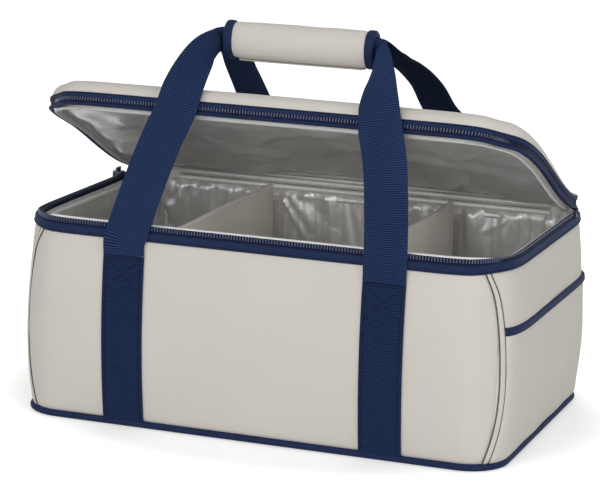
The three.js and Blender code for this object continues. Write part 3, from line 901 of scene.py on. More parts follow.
def wallGrid(side, heights, margin, stand, bowed=True, step=wall["step"]):
    z = np.asarray(heights)[None, :]
    low, high = wallSpan(side, z if bowed else z * 0, margin)
    count = int(math.ceil((high - low).mean() / step)) + 1
    share = np.linspace(0, 1, count)
    edge = np.array([0.0004, 0.001, 0.002, 0.003]) / (high - low).mean()
    share = np.sort(np.concatenate([share, edge, 1 - edge]))[:, None]
    s = low + (high - low) * share
    tall = np.broadcast_to(z, s.shape)
    nearest = np.minimum(share, 1 - share) * (high - low)
    flat = outline(s, swell(tall) + stand(s, tall, nearest), tall)
    return np.dstack([flat, tall]), np.dstack([s, tall])


def evenStand(reach):
    return lambda s, z, nearest: np.full(s.shape, reach)


def seamTuck(z):
    # drawn in at the foot and under the rim's binding
    foot = wall["footTuck"] * pinch(z - wall["low"], wall["footReach"])
    return foot + wall["headTuck"] * pinch(wall["top"] - z, wall["headReach"])


def outerStand(s, z, nearest):
    flat = outline(s, swell(z), z)
    place = np.dstack([flat, z])
    seam = wall["tuck"] * pinch(nearest, wall["tuckReach"])
    across = np.sin(np.pi * np.clip((z - wall["low"]) / (wall["top"] - wall["low"]), 0, 1))
    puff = wall["puff"] * across * (1 - pinch(nearest, wall["puffReach"]))
    fromStrap = np.abs(np.abs(flat[..., 0]) - wall["strapX"]) / wall["strapReach"]
    onStrap = (np.abs(flat[..., 1]) > runY + bag["corner"] * 0.9) * np.exp(-(fromStrap**4))
    press = wall["strapPress"] * onStrap + puff * onStrap
    cloud = wall["cloud"] * wave(place, wall["cloudPitch"], 3)
    cloud = cloud + wall["fineCloud"] * wave(place, wall["finePitch"], 4)
    return puff + cloud * (1 - onStrap) * across - seam - seamTuck(z) - press


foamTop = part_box("front_foam")[1].z
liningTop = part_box("front_liner")[1].z
foamLevels = np.linspace(bag["foot"], foamTop, 26)
sewnMargin = 0.0002
for side in wallEnds:
    grid, uv = wallGrid(side, levels, wall["weltHalf"], outerStand)
    clothPiece(f"{side}_cloth", f"{side}_panel", grid, uv, wall["thick"], canvas, "bag")
    grid, uv = wallGrid(side, foamLevels, sewnMargin, evenStand(-foamInset), False)
    padding = clothPiece(f"{side}_padding", f"{side}_foam", grid, uv, bag["foam"], foam, "bag")


def weltGrid(corner):
    z = levels[None, :]
    share = np.linspace(-1, 1, 9)[:, None]
    s = weltAt(corner, z) + share * (wall["weltHalf"] - 0.0004)
    tall = np.broadcast_to(z, s.shape)
    proud = wall["weltProud"] * (1 - np.abs(share) ** 4) - wall["weltEdge"] * np.abs(share) ** 6
    flat = outline(s, swell(tall) + proud - seamTuck(tall), tall)
    return np.dstack([flat, tall]), np.dstack([s, tall])


weltNames = {
    "frontLeft": "front_left",
    "frontRight": "front_right",
    "backRight": "back_right",
    "backLeft": "back_left",
}
for corner, name in weltNames.items():
    grid, uv = weltGrid(corner)
    clothPiece(f"{name}_welt_strip", f"{name}_welt", grid, uv, wall["thick"], canvas, "bag")
    heights = np.linspace(wall["low"] + 0.002, wall["top"] - 0.001, 60)
    seams = []
    for edge in (-1, 1):
        s = weltAt(corner, heights) + edge * wall["weltHalf"]
        flat = outline(s, swell(heights) - wall["seamRadius"], heights)
        seams.append(np.column_stack([flat, heights]))
    cordPiece(f"{name}_welt_seams", seams, wall["seamRadius"], 6, seamThread)
print("outer cloth made")

# lining of the walls, loose between its seams: how much it is grown, and how far it stands off at most
loose = {
    "back": (0.045, 0.0046),
    "front": (0.006, 0.0006),
    "left": (0.018, 0.0026),
    "right": (0.018, 0.0026),
}
# gathers hang from the top seam: how many, and how far out
gathers = {"back": (50, 0.0068), "front": (8, 0.0008), "left": (14, 0.0040), "right": (14, 0.0040)}
gather = {
    "width": (0.0035, 0.0110),
    "length": (0.010, 0.042),
    "lean": 0.55,
    "height": (0.45, 1.0),
    "seam": 0.006,
}
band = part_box("hinge_lining_band")
bandFoot = band[0].z + 0.55 * (band[1].z - band[0].z)
divider = {
    "x": 0.090,
    "half": 0.003,
    "edge": 0.0094,
    "edgeTall": 0.0036,
    "edgeWide": 0.0054,
    "band": 0.013,
    "calmReach": 0.012,
    "calm": 0.85,
    "round": 0.004,
    "bandReach": 0.002,
    "bandSink": 0.0011,
    "lean": 0.0012,
    "leanPitch": 0.16,
    "edgeSink": 0.0006,
    "edgeDrop": 0.004,
}


def liningGrid(side, low, high):
    step = 0.0022 if side == "back" else 0.0036
    heights = np.linspace(low, high, int((high - low) / step) + 1)
    grid, uv = wallGrid(side, heights, sewnMargin, evenStand(-wallInset), False, step)
    # the good side of a lining faces into the bag
    return grid[::-1], uv[::-1]


def gatherLift(uv, top, count, reach, seed):
    dice = np.random.default_rng(seed)
    s, z = uv[..., 0], uv[..., 1]
    lift = np.zeros(s.shape)
    for _ in range(count):
        middle = dice.uniform(s.min(), s.max())
        width = dice.uniform(*gather["width"])
        length = dice.uniform(*gather["length"])
        lean = dice.normal(0, gather["lean"])
        down = (top - z) / length
        ridge = np.exp(-np.abs((s - middle - lean * (top - z)) / (width * (1 + 0.6 * down))) ** 1.2)
        lift = np.maximum(lift, dice.uniform(*gather["height"]) * ridge * np.exp(-(down**2)))
    return reach * lift * smooth((top - z) / gather["seam"])


for number, side in enumerate(wallEnds):
    high = bandFoot if side == "back" else liningTop
    grid, uv = liningGrid(side, bag["foot"] + 0.004, high)
    amount = 1.0
    if side in ("front", "back"):
        # calm where a divider stands against it
        besideDivider = np.abs(np.abs(grid[..., 0]) - divider["x"]) / divider["calmReach"]
        amount = 1 - divider["calm"] * np.exp(-(besideDivider**4))
    shaped = buckle(grid, *loose[side], 20 + number, amount)
    lift = gatherLift(uv, high, *gathers[side], 90 + number)
    shaped = shaped + gridNormals(grid) * (lift * amount)[..., None]
    clothPiece(f"{side}_lining", f"{side}_liner", shaped, uv, bag["lining"], lining, "bag")
print("lining made")

# hinge band: a smooth strip over the top of the back lining, stitched along both edges

hingeStrip = {
    "roll": 0.0013,
    "rollReach": 0.07,
    "ripple": 0.0005,
    "ripplePitch": 0.03,
    "proud": 0.0006,
    "cord": 0.0026,
    "stitchEnd": 0.004,
}
bandHeights = np.linspace(band[0].z, band[1].z, 13)
bandX = np.linspace(-runX, runX, 120)
bandRise = (bandHeights - band[0].z) / (band[1].z - band[0].z)
bandStand = swell(bandHeights) - wallInset - bag["gap"] - bag["lining"]
roll = sum(hingeStrip["roll"] * pinch(bandRise - at, hingeStrip["rollReach"]) for at in (0.06, 0.94))
x, z = np.meshgrid(bandX, bandHeights, indexing="ij")
ripple = hingeStrip["ripple"] * wave(np.dstack([x, z]), hingeStrip["ripplePitch"], 31)
ripple = ripple * np.sin(np.pi * bandRise)
grid = np.dstack([x, bag["halfDepth"] + bandStand - roll - hingeStrip["proud"] - ripple, z])
clothPiece(
    "hinge_band", "hinge_lining_band", grid, grid[..., [0, 2]], bag["lining"], lining, "bag"
)


def alongBand(z, proud, half, count):
    y = bag["halfDepth"] + float(np.interp(z, bandHeights, bandStand)) - proud
    return [(x, y, z) for x in np.linspace(-half, half, count)]


cords = [alongBand(z, 0.0024, runX, 60) for z in (bandFoot + 0.001, band[1].z - 0.0004)]
cordPiece("hinge_band_rolls", cords, hingeStrip["cord"], 12, brightEdge)
stitchHalf = runX - hingeStrip["stitchEnd"]
rows = [alongBand(z, 0.0010, stitchHalf, 2) for z in (bandFoot + 0.0034, band[1].z - 0.0028)]
stitchPiece("hinge_band_stitches", rows, greyThread)

# the back lining's corner seams: a folded ridge down each back corner
ridge = {"apart": 0.0045, "sway": 0.0012, "sink": 0.0012, "radius": 0.0016}
for name, corner in (("left", "backLeft"), ("right", "backRight")):
    heights = np.linspace(bag["foot"] + 0.006, liningTop - 0.002, 40)
    ridges = []
    for shift in (-ridge["apart"], ridge["apart"]):
        s = cornerAt[corner] + shift + ridge["sway"] * np.sin(heights * 90 + shift * 900)
        flat = outline(s, swell(heights) - wallInset - ridge["sink"], heights)
        ridges.append(np.column_stack([flat, heights]))
    cordPiece(f"back_{name}_lining_seam", ridges, ridge["radius"], 8, lining)
print("hinge band made")

# slip pocket on the right side

pocket = {
    "stand": 0.0013,
    "belly": 0.0012,
    "bellyReach": 0.03,
    "cloud": 0.0004,
    "cloudPitch": 0.07,
    "foot": 0.0022,
    "tuck": 0.0012,
    "bindingStand": 0.0008,
    "bindingRoll": 0.0022,
    "bindingThick": 0.0014,
    "stitchUp": 0.0016,
    "stitchOut": 0.0027,
    "stitchEnd": 0.008,
}
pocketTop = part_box("pocket_panel")[1].z
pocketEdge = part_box("pocket_binding")
pocketLevels = np.linspace(wall["low"], pocketTop + 0.001, 32)


def pocketTuck(nearest):
    return pocket["tuck"] * pinch(nearest, wall["tuckReach"])


def pocketStand(s, z, nearest):
    share = np.clip((z - wall["low"]) / (pocketEdge[1].z - wall["low"]), 0, 1)
    belly = pocket["belly"] * np.sin(np.pi * share**0.8) * (1 - pinch(nearest, pocket["bellyReach"]))
    foot = pocket["foot"] * pinch(z - wall["low"], wall["footReach"])
    place = np.dstack([outline(s, swell(z), z), z])
    cloud = pocket["cloud"] * wave(place, pocket["cloudPitch"], 8)
    return pocket["stand"] + belly + cloud - foot - pocketTuck(nearest)


def bindingStand(s, z, nearest):
    share = (z - pocketEdge[0].z) / (pocketEdge[1].z - pocketEdge[0].z)
    rolled = pocket["bindingRoll"] * (1 - np.abs(2 * share - 1) ** 4)
    return pocket["bindingStand"] + rolled - pocketTuck(nearest)


grid, uv = wallGrid("right", pocketLevels, wall["weltHalf"], pocketStand)
clothPiece("pocket_cloth", "pocket_panel", grid, uv, wall["thick"], canvas, "bag")
bindingLevels = np.linspace(pocketEdge[0].z, pocketEdge[1].z, 11)
grid, uv = wallGrid("right", bindingLevels, wall["weltHalf"], bindingStand)
clothPiece(
    "pocket_edge_binding", "pocket_binding", grid, uv, pocket["bindingThick"], trim, "bag"
)


def levelLine(s, offset, z):
    # a line of points along the rim at one height
    return np.column_stack([outline(s, np.full(s.shape, offset), z), np.full(len(s), z)])


stitchZ = pocketEdge[0].z + pocket["stitchUp"]
low, high = wallSpan("right", np.array(stitchZ), pocket["stitchEnd"])
row = levelLine(rimSamples(float(low), float(high)), swell(stitchZ) + pocket["stitchOut"], stitchZ)
stitchPiece("pocket_stitches", [row], navyThread)
print("pocket made")

# rim of the body: binding, zip tape, teeth, and the lining's pale folded edge

rim = {
    "bindingLow": 0.1665,
    "bindingHigh": 0.1739,
    "binding": (-0.0014, 0.0013, 0.0012),  # of a band: inner and outer offset, rounding
    "tapeHigh": 0.1785,
    "tape": (-0.0036, 0.0002, 0.0008),
    "hingeLow": 0.1732,
    "hingeHigh": 0.1797,
    "hinge": (-0.0013, 0.0004, 0.0008),
    "lap": 0.0006,
    "stitchIn": 0.0014,
    "stitchOut": 0.0013,
    "zipBack": 0.057,
    "zipGap": 0.0046,
    "bindingLift": 0.0022,
    "edge": (-0.0056, 0.1773, 0.0038, 0.0050, 16),  # of a roll: offset, height, width, thickness, sides
    "edgeDrop": -0.0023,
    "leftEdge": (-0.0034, -0.0050),
    "rollSink": 0.0055,
}
zipEnd = rimMarks[2] + (runY - (bag["halfDepth"] - rim["zipBack"]))
zipS = (zipEnd, rimLength - zipEnd)
hingeS = (-zipEnd + rim["zipGap"], zipEnd - rim["zipGap"])
profile = roundedBand(rim["bindingLow"] - rim["lap"], rim["bindingHigh"], *rim["binding"])
rimPiece("rim_binding_roll", "rim_binding", wholeRim, profile, trim, "navy_trim", True, rim["bindingLift"])
stitchZ = rim["bindingLow"] + rim["stitchIn"]
row = levelLine(wholeRim, swell(stitchZ) + rim["stitchOut"], stitchZ)
row[:, 2] += rim["bindingLift"] * sideShare(wholeRim)
stitchPiece("rim_binding_stitches", [row], navyThread)
profile = roundedBand(rim["bindingHigh"] - rim["lap"], rim["tapeHigh"], *rim["tape"])
rimPiece("body_zip_band", "body_zip_tape", rimSamples(*zipS), profile, zipTape, "navy_trim")
profile = roundedBand(rim["hingeLow"], rim["hingeHigh"], *rim["hinge"])
rimPiece("hinge_band_outside", "hinge_tape", rimSamples(*hingeS), profile, trim, "navy_trim")
rimPiece(
    "rim_pale_edge", "rim_lining_edge", wholeRim, oval(*rim["edge"]), paleEdge, "silver_lining", True,
    rim["edgeDrop"], rim["leftEdge"],
)
# the tape rolls inwards along the left side, over the lining's edge, and sinks away at the front corner
rollS = rimSamples(rimMarks[2], rimMarks[3] + 0.7 * quarter)
rollShape = oval(-0.0060, 0.1752 - rim["rollSink"], 0.0050, 0.0070, 16)
rimPiece("left_rim_roll", None, rollS, rollShape, zipTape, "navy_trim", True, 0.0, (0.0, rim["rollSink"]))

tooth = {
    "pitch": 0.0026,
    "wide": 0.00110,
    "tall": 0.0034,
    "proud": 0.0013,
    "slant": 0.0004,
    "sunk": 0.0017,
    "tip": ((0.0, 1.0), (0.7, 1.0), (1.0, 0.55)),  # share of the way out, share of the width
    "firstGap": 0.002,
    "lastGap": 0.001,
}


def teethRow(low, offset, swelling):
    corners = []
    for out, narrow in tooth["tip"]:
        for side, up in ((-1, 0), (1, 0), (1, 1), (-1, 1)):
            corners.append((out * tooth["proud"], side * narrow * tooth["wide"] / 2, up, narrow))
    faces = [(3, 2, 1, 0), (8, 9, 10, 11)]
    for level in (0, 4):
        for k in range(4):
            faces.append((level + k, level + (k + 1) % 4, level + 4 + (k + 1) % 4, level + 4 + k))
    parts = []
    for place in np.arange(zipS[0] + tooth["firstGap"], zipS[1] - tooth["lastGap"], tooth["pitch"]):
        centre, normal = rimNormal(np.array(place))
        tangent = np.array([-normal[1], normal[0]])
        sunk = tooth["sunk"] * sideShare(np.array(place))
        shape = []
        for out, across, up, narrow in corners:
            z = low + tooth["tall"] * (0.5 + (up - 0.5) * (0.5 + 0.5 * narrow))
            lean = tooth["slant"] * (up - 0.5)
            reach = bag["corner"] + offset + out + (swell(z) if swelling else 0) - roundness(place, z) - sunk
            flat = centre + normal * reach + tangent * (across + lean)
            shape.append((flat[0], flat[1], z))
        parts.append((np.array(shape), faces))
    return joined(parts)


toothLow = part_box("body_zip_teeth")[0].z
points, faces = teethRow(toothLow - 0.0004, 0.0002, True)
makePiece("body_zip_teeth_row", points, faces, teeth, "bag", None, "body_zip_teeth")
print("rim made")

# webbing

strap = {
    "width": 0.038,
    "thick": 0.0015,
    "sewnTop": 0.153,
    "box": 0.031,
    "edge": 0.0032,
    "topEdge": 0.0022,
    "off": 0.0001,
    "stitchOff": 0.00025,
    "full": 0.0016,
    "rib": 0.00019,
    "step": 0.0006,
    "steady": 0.004,
    "columns": 15,
}


def webbing(centres, widths, facings, cup):
    # a flat band along a line, ribbed across, its edges rounded and its width cupped where it is drawn in
    lengths = lengthsAlong(centres)
    count = int(lengths[-1] / strap["step"]) + 1
    at = np.linspace(0, lengths[-1], count)
    line = np.column_stack([np.interp(at, lengths, centres[:, k]) for k in range(3)])
    facing = np.column_stack([np.interp(at, lengths, facings[:, k]) for k in range(3)])
    width = np.interp(at, lengths, widths)
    bend = np.interp(at, lengths, cup)
    span = max(3, int(strap["steady"] / (lengths[-1] / count)))
    kernel = np.ones(span) / span
    padded = np.vstack([np.repeat(line[:1], span, 0), line, np.repeat(line[-1:], span, 0)])
    drift = np.column_stack([np.convolve(padded[:, k], kernel, "same") for k in range(3)])[span:-span]
    tangent = np.gradient(drift, axis=0)
    tangent[:2] = line[2] - line[0]
    tangent[-2:] = line[-1] - line[-3]
    tangent /= np.linalg.norm(tangent, axis=1, keepdims=True)
    face = facing - tangent * (facing * tangent).sum(1, keepdims=True)
    face /= np.linalg.norm(face, axis=1, keepdims=True)
    across = np.cross(tangent, face)
    v = np.sin(np.linspace(-math.pi / 2, math.pi / 2, strap["columns"]))
    edge = strap["full"] / 2 * (0.25 + 0.75 * np.sqrt(1 - np.abs(v) ** 6))
    rib = strap["rib"] * np.cos(at * 2 * math.pi / webLook["rib"])
    order = list(range(strap["columns"]))
    section = []
    for sign, columns in ((1, order), (-1, order[::-1])):
        for k in columns:
            depth = sign * (edge[k] + rib * (1 - abs(v[k]) ** 8)) + bend * (v[k] ** 2 - 0.4)
            section.append(line + across * (v[k] * width / 2)[:, None] + face * depth[:, None])
    points = np.stack(section, 1)
    size = points.shape[:2]
    spread = np.concatenate([v, v[::-1]])
    uv = np.dstack([np.broadcast_to(at[:, None], size), width[:, None] / 2 * spread[None, :]])
    return points.reshape(-1, 3), tubeFaces(*size), uv.reshape(-1, 2)


def sewnStrap(name, side, x):
    z = np.linspace(bag["foot"] - 0.0015, strap["sewnTop"] - 0.0002, 60)
    out = bag["halfDepth"] + swell(z) + bag["gap"] + strap["thick"] / 2 + strap["off"]
    centres = np.column_stack([np.full(len(z), x), side * out, z])
    facings = np.tile((0.0, float(side), 0.0), (len(z), 1))
    points, faces, uv = webbing(centres, np.full(len(z), strap["width"]), facings, np.zeros(len(z)))
    makePiece(f"{name}_webbing", points, faces, web, "bag", uv, f"{name}_strap")

    def onStrap(across, height):
        y = bag["halfDepth"] + swell(height) + bag["gap"] + strap["thick"] + strap["stitchOff"]
        return np.column_stack([x + across, side * y, height])

    half = strap["width"] / 2 - strap["edge"]
    top = strap["sewnTop"] - strap["topEdge"]
    low = strap["sewnTop"] - strap["box"]
    heights = np.linspace(bag["foot"] + 0.002, top, 40)
    lines = [onStrap(np.full(40, across), heights) for across in (-half, half)]
    lines += [onStrap(np.linspace(-half, half, 20), np.full(20, height)) for height in (low, top)]
    for lean in (-1, 1):
        lines.append(onStrap(np.linspace(-half * lean, half * lean, 20), np.linspace(low, top, 20)))
    stitchPiece(f"{name}_stitches", lines, navyThread)


for faceName, side in (("front", -1), ("back", 1)):
    for handName, x in (("left", -wall["strapX"]), ("right", wall["strapX"])):
        sewnStrap(f"{faceName}_{handName}", side, x)
print("sewn straps made")

# free handle loops, along the same stops as the construction

handle = {
    "rise": 0.154,
    "sideways": 0.009,
    "forward": 0.065,
    "gripLength": 0.136,
    "entryWidth": 0.025,
    "gripWidth": 0.020,
    "entryStraight": 0.004,
    "rearSideways": 0.006,
    "entryAway": 0.013,
    "entryDrop": 0.007,
    "bow": 0.010,
    "bowRise": 0.040,
    "sway": 0.013,
    "straight": 0.012,
    "apart": 0.003,
    "rearStops": 4,
    "leftLean": 1.0,
    "rightLean": 2.6,
    "rearLean": 1.0,
    "arch": 1.6,
    "lidReach": 0.2867,
    "cup": -0.0055,
    "cupReach": 0.006,
    "perLeg": 24,
    "foldLow": 0.1532,
    "foldHigh": 0.170,
}
gripEnd = handle["gripLength"] / 2
entryReach = gripEnd + handle["entryStraight"]
freeRise = strap["sewnTop"] - bag["height"] + bag["gap"] / 2
straightRise = freeRise + handle["straight"]
freeOut = float(swell(np.array(strap["sewnTop"]))) + 2 * bag["gap"] + strap["thick"] / 2
entryRise = handle["rise"] - handle["entryDrop"]


def climbShare(rise):
    return (rise - straightRise) / (handle["rise"] - straightRise)


def leanX(side, rise, lean):
    top = handle["sideways"] + side * entryReach
    return side * wall["strapX"] + (top - side * wall["strapX"]) * climbShare(rise) ** lean


def stop(x, y, rise, width, facing):
    return (x, y, bag["height"] + rise, width, *facing)


def sewnStops(side, y, facing):
    x = side * wall["strapX"]
    return [stop(x, y, rise, strap["width"], facing) for rise in (freeRise, straightRise)]


# where the front webbing turns on edge to enter the grip: rise, y, x on either side, width, facing
frontEntry = [
    (0.100, -0.1298, -0.0790, 0.1035, 0.038, (-0.02, -0.92, 0.36)),
    (0.118, -0.1235, -0.0755, 0.0995, 0.036, (-0.12, -0.88, 0.44)),
    (0.135, -0.1100, -0.0720, 0.0945, 0.031, (-0.30, -0.80, 0.44)),
    (0.147, -0.0930, -0.0685, 0.0885, 0.026, (-0.52, -0.76, 0.30)),
    (0.153, -0.0745, -0.0640, 0.0825, 0.021, (-0.70, -0.70, 0.10)),
]
lidRises = (0.0, 0.025, 0.050, 0.075)  # where it lies against the sweep of the lid


def frontStops(side):
    stops = sewnStops(side, -bag["halfDepth"] - freeOut, (0, -1, 0))
    lean = handle["leftLean"] if side < 0 else handle["rightLean"]
    for rise in lidRises:
        y = bag["halfDepth"] - math.sqrt(handle["lidReach"] ** 2 - rise**2) - strap["thick"]
        out = Vector((0, y - bag["halfDepth"], rise)).normalized()
        stops.append(stop(leanX(side, rise, lean), y, rise, strap["width"], out))
    for rise, y, leftX, rightX, width, facing in frontEntry:
        turned = (side * facing[0], facing[1], facing[2])
        stops.append(stop(leftX if side < 0 else rightX, y, rise, width, turned))
    return stops


# the rear webbing's facing on its way to the grip, and as it enters
rearFacings = [(0.0, 1.0, 0.15), (0.0, 0.85, 0.5), (0.0, 0.7, 0.7), (-0.05, 0.6, 0.78), (-0.35, 0.7, 0.6)]


def rearStops(side):
    stops = sewnStops(side, bag["halfDepth"] + freeOut, (0, 1, 0))
    bowY = bag["halfDepth"] + handle["bow"]
    entryY = -handle["forward"] + handle["entryAway"]
    facings = [(side * across, out, up) for across, out, up in rearFacings]
    stops.append(stop(leanX(side, 0, handle["rearLean"]), bowY, 0, strap["width"], (0, 1, 0)))
    for i in range(handle["rearStops"]):
        share = i / handle["rearStops"]
        rise = handle["bowRise"] + (entryRise - handle["bowRise"]) * (1 - (1 - share) ** handle["arch"])
        climb = climbShare(rise)
        fade = 1 - float(smooth((climb - 0.55) / 0.3)) if side > 0 else 1
        x = leanX(side, rise, handle["rearLean"]) - fade * handle["sway"] * math.sin(math.pi * climb**2)
        width = strap["width"] - 0.003 * i
        stops.append(stop(x, bowY + (entryY - bowY) * share, rise, width, facings[i]))
    x = handle["sideways"] + side * (entryReach + handle["rearSideways"])
    stops.append(stop(x, entryY, entryRise, handle["entryWidth"], facings[-1]))
    return stops


def gripStops(side, y, facing):
    reaches = [0, gripEnd - 3 * handle["entryStraight"], gripEnd - handle["entryStraight"], entryReach]
    places = [handle["sideways"] + side * reach for reach in reaches]
    return [stop(x, y, handle["rise"], handle["gripWidth"], facing) for x in places]


def throughStops(stops):
    # a smooth line through the stops, evenly eased by the distance between them
    table = np.array(stops, float)
    ghost = np.vstack([2 * table[0] - table[1], table, 2 * table[-1] - table[-2]])
    t = np.linspace(0, 1, handle["perLeg"], endpoint=False)[:, None]
    line = []
    for i in range(len(table) - 1):
        p = ghost[i : i + 4]
        k = np.sqrt(np.maximum(np.linalg.norm(np.diff(p[:, :3], axis=0), axis=1), 1e-6))
        first = ((p[1] - p[0]) / k[0] - (p[2] - p[0]) / (k[0] + k[1]) + (p[2] - p[1]) / k[1]) * k[1]
        second = ((p[2] - p[1]) / k[1] - (p[3] - p[1]) / (k[1] + k[2]) + (p[3] - p[2]) / k[2]) * k[1]
        leg = (2 * t**3 - 3 * t**2 + 1) * p[1] + (t**3 - 2 * t**2 + t) * first
        leg = leg + (3 * t**2 - 2 * t**3) * p[2] + (t**3 - t**2) * second
        leg[:, 3:] = p[1, 3:] + (p[2, 3:] - p[1, 3:]) * t
        line.append(leg)
    return np.vstack(line + [table[-1:]])


loopLength = {}


def loopPiece(name, node, sideStops, facing, finish):
    # facing is -1 for the front loop and 1 for the rear one
    y = -handle["forward"] + facing * (handle["apart"] / 2 + strap["thick"] / 2)
    left = sideStops(-1) + gripStops(-1, y, (0, facing, 0))[::-1]
    right = gripStops(1, y, (0, facing, 0))[1:] + sideStops(1)[::-1]
    line = throughStops(left + right)
    loopLength[name] = float(lengthsAlong(line[:, :3])[-1])
    drawn = np.clip((strap["width"] - line[:, 3]) / (strap["width"] - handle["entryWidth"]), 0, 1)
    beyond = smooth((np.abs(line[:, 0] - handle["sideways"]) - gripEnd) / handle["cupReach"])
    points, faces, uv = webbing(line[:, :3], line[:, 3], line[:, 4:], handle["cup"] * drawn * beyond)
    piece = makePiece(name, points, faces, finish, None, uv, node)
    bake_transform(piece)


# the front loop takes the lighter webbing: painted light
loopPiece("front_loop_webbing", "front_handle", frontStops, -1, paintedLightWeb)
loopPiece("rear_loop_webbing", "rear_handle", rearStops, 1, web)
print("handle loops made")

# padded grip

grip = {
    "tall": 0.0312,
    "deep": 0.0232,
    "pad": 0.004,
    "binding": 0.008,
    "proud": 0.0011,
    "sides": 56,
    "lap": 0.001,
    "belly": 0.0005,
    "endTuck": 0.0009,
    "endReach": 0.025,
    "cloud": 0.00025,
    "cloudPitch": 0.03,
    "flapGap": 0.0023,
    "flapFrom": 280,
    "flapTo": 380,
    "flapOut": 0.0035,
    "flapIn": 0.0021,
    "flapEdge": 0.0009,
    "flapStitch": 0.0036,
}
gripMiddle = Vector((handle["sideways"], -handle["forward"], bag["height"] + handle["rise"]))


def roundGrip(turn, proud):
    y = gripMiddle.y + (grip["deep"] / 2 + proud) * np.cos(turn)
    return y, gripMiddle.z + (grip["tall"] / 2 + proud) * np.sin(turn)


def shellFaces(rows, columns):
    # two layers of rings, joined at both ends
    count = rows * columns
    faces = quads(rows, columns, False, True) + quads(rows, columns, False, True, count)
    for row in (0, rows - 1):
        for j in range(columns):
            a = row * columns + j
            b = row * columns + (j + 1) % columns
            faces.append((a, b, count + b, count + a))
    return faces


def gripPiece(name, node, xs, outer, inner, degrees, finish, body):
    # rings round the grip: outer and inner reach for each x and bearing, from the rear upwards
    x, turn = np.meshgrid(xs, np.radians(degrees), indexing="ij")
    layers = [np.dstack([x, *roundGrip(turn, reach(x, turn))]) for reach in (outer, inner)]
    faces = shellFaces(*x.shape) if degrees is wholeTurn else sheetFaces(*x.shape)
    girth = np.radians(degrees) * (grip["tall"] + grip["deep"]) / 4
    uv = np.dstack([x, np.broadcast_to(girth, x.shape)])
    return makePiece(name, layered(*layers), faces, finish, body, layered(uv, uv), node)


def evenReach(reach):
    return lambda x, turn: np.full(x.shape, reach)


gripLeft = handle["sideways"] - gripEnd
gripRight = handle["sideways"] + gripEnd
wrapInset = grip["binding"] - grip["lap"]
wrapX = np.linspace(gripLeft + wrapInset, gripRight - wrapInset, 60)
wholeTurn = np.arange(grip["sides"]) * 360 / grip["sides"]


def wrapOuter(x, turn):
    share = (x - wrapX[0]) / (wrapX[-1] - wrapX[0])
    ends = pinch(share, grip["endReach"]) + pinch(1 - share, grip["endReach"])
    belly = grip["belly"] * np.sin(np.pi * share) ** 0.6 - grip["endTuck"] * ends
    place = np.dstack([x, 0.014 * np.cos(turn), 0.014 * np.sin(turn)])
    return belly + grip["cloud"] * wave(place, grip["cloudPitch"], 41)


def bindingOuter(low, high):
    def reach(x, turn):
        share = 2 * (x - low) / (high - low) - 1
        return grip["proud"] * (1 - np.abs(share) ** 5) - 0.0004 * np.abs(share) ** 8
    return reach


padInside = evenReach(-grip["pad"])
wrap = gripPiece(
    "grip_padding", "grip_wrap", wrapX, wrapOuter, padInside, wholeTurn, canvas, "rear_loop"
)
for name, low in (("left", gripLeft), ("right", gripRight - grip["binding"])):
    high = low + grip["binding"]
    xs = low + (high - low) * (0.5 - 0.5 * np.cos(np.linspace(0, np.pi, 13)))
    gripPiece(
        f"grip_{name}_roll", f"grip_{name}_binding", xs, bindingOuter(low, high), padInside, wholeTurn, trim,
        "rear_loop",
    )
flapInset = grip["binding"] + grip["flapGap"]
flapX = np.linspace(gripLeft + flapInset, gripRight - flapInset, 40)
flapTurn = np.linspace(grip["flapFrom"], grip["flapTo"], 30)
tapeTurn = np.linspace(285, 335, 16)


def flapOuter(x, turn):
    along = np.minimum(x - flapX[0], flapX[-1] - x) / 0.003
    around = np.minimum(turn - math.radians(grip["flapFrom"]), math.radians(grip["flapTo"]) - turn) / 0.12
    inside = np.clip(np.minimum(along, around), 0, 1)
    return grip["flapOut"] - grip["flapEdge"] * (1 - np.sqrt(1 - (1 - inside) ** 2))


flapInner = evenReach(grip["flapIn"])
gripPiece(
    "grip_closing_flap", "grip_flap", flapX, flapOuter, flapInner, flapTurn, canvas, "flap"
)
for kind, low, high, body in (("loop", 0.0003, 0.0009, "rear_loop"), ("hook", 0.0012, 0.0018, "flap")):
    gripPiece(
        f"grip_{kind}_strip", f"grip_{kind}_tape", flapX, evenReach(high), evenReach(low), tapeTurn, hook,
        body,
    )
rows = []
for bearing in (287, 373):
    y, z = roundGrip(math.radians(bearing), grip["flapStitch"])
    rows.append([(flapX[0] + 0.003, y, z), (flapX[-1] - 0.003, y, z)])
stitchPiece("grip_flap_stitches", rows, seamThread, "flap")
print("grip made")

# lid: made closed, then bent open along its soft back

lid = {
    "open": 19.7,
    "bendFrom": 0.127,
    "bendTo": -0.0463,
    "creaseAt": 0.052,
    "creaseSoft": 0.010,
    "creaseShare": 0.62,
    "creaseFade": 0.03,
    "firm": 0.60,
    "firmReach": 0.205,
    "backThin": 0.85,
    "thinFrom": 0.09,
    "thinReach": 0.11,
    "thinBack": 0.03,
    "bindingLow": 0.1876,
    "bindingHigh": 0.1922,
    "drop": 0.0130,
    "run": 0.0135,
    "crown": 0.0045,
    "tuck": 0.0004,
    "inward": 30,
    "liningZ": 0.1867,
    "padGap": 0.0012,
    "cloud": 0.0007,
    "cloudPitch": 0.12,
    "zipBand": (0.1826, 0.1880, -0.0013, 0.0000, 0.0005),
    "hingeLow": 0.1803,
    "hingeHigh": 0.1882,
    "toothUp": 0.0044,
    "zipRoll": (-0.0012, 0.1818, 0.0052, 0.0032),
    "border": (0.1812, 0.1868, -0.0090, -0.0016, 0.0008),
    "edge": (-0.0090, 0.1802, 0.0030, 0.0048),
}
openAngle = math.radians(lid["open"])
hinge = np.array([bag["halfDepth"], bag["height"]])
lidRun = 2 * bag["halfDepth"] * math.cos(openAngle)
lidLift = 2 * bag["halfDepth"] * math.sin(openAngle)
lidSlope = lidLift / (lidRun - lid["creaseAt"])


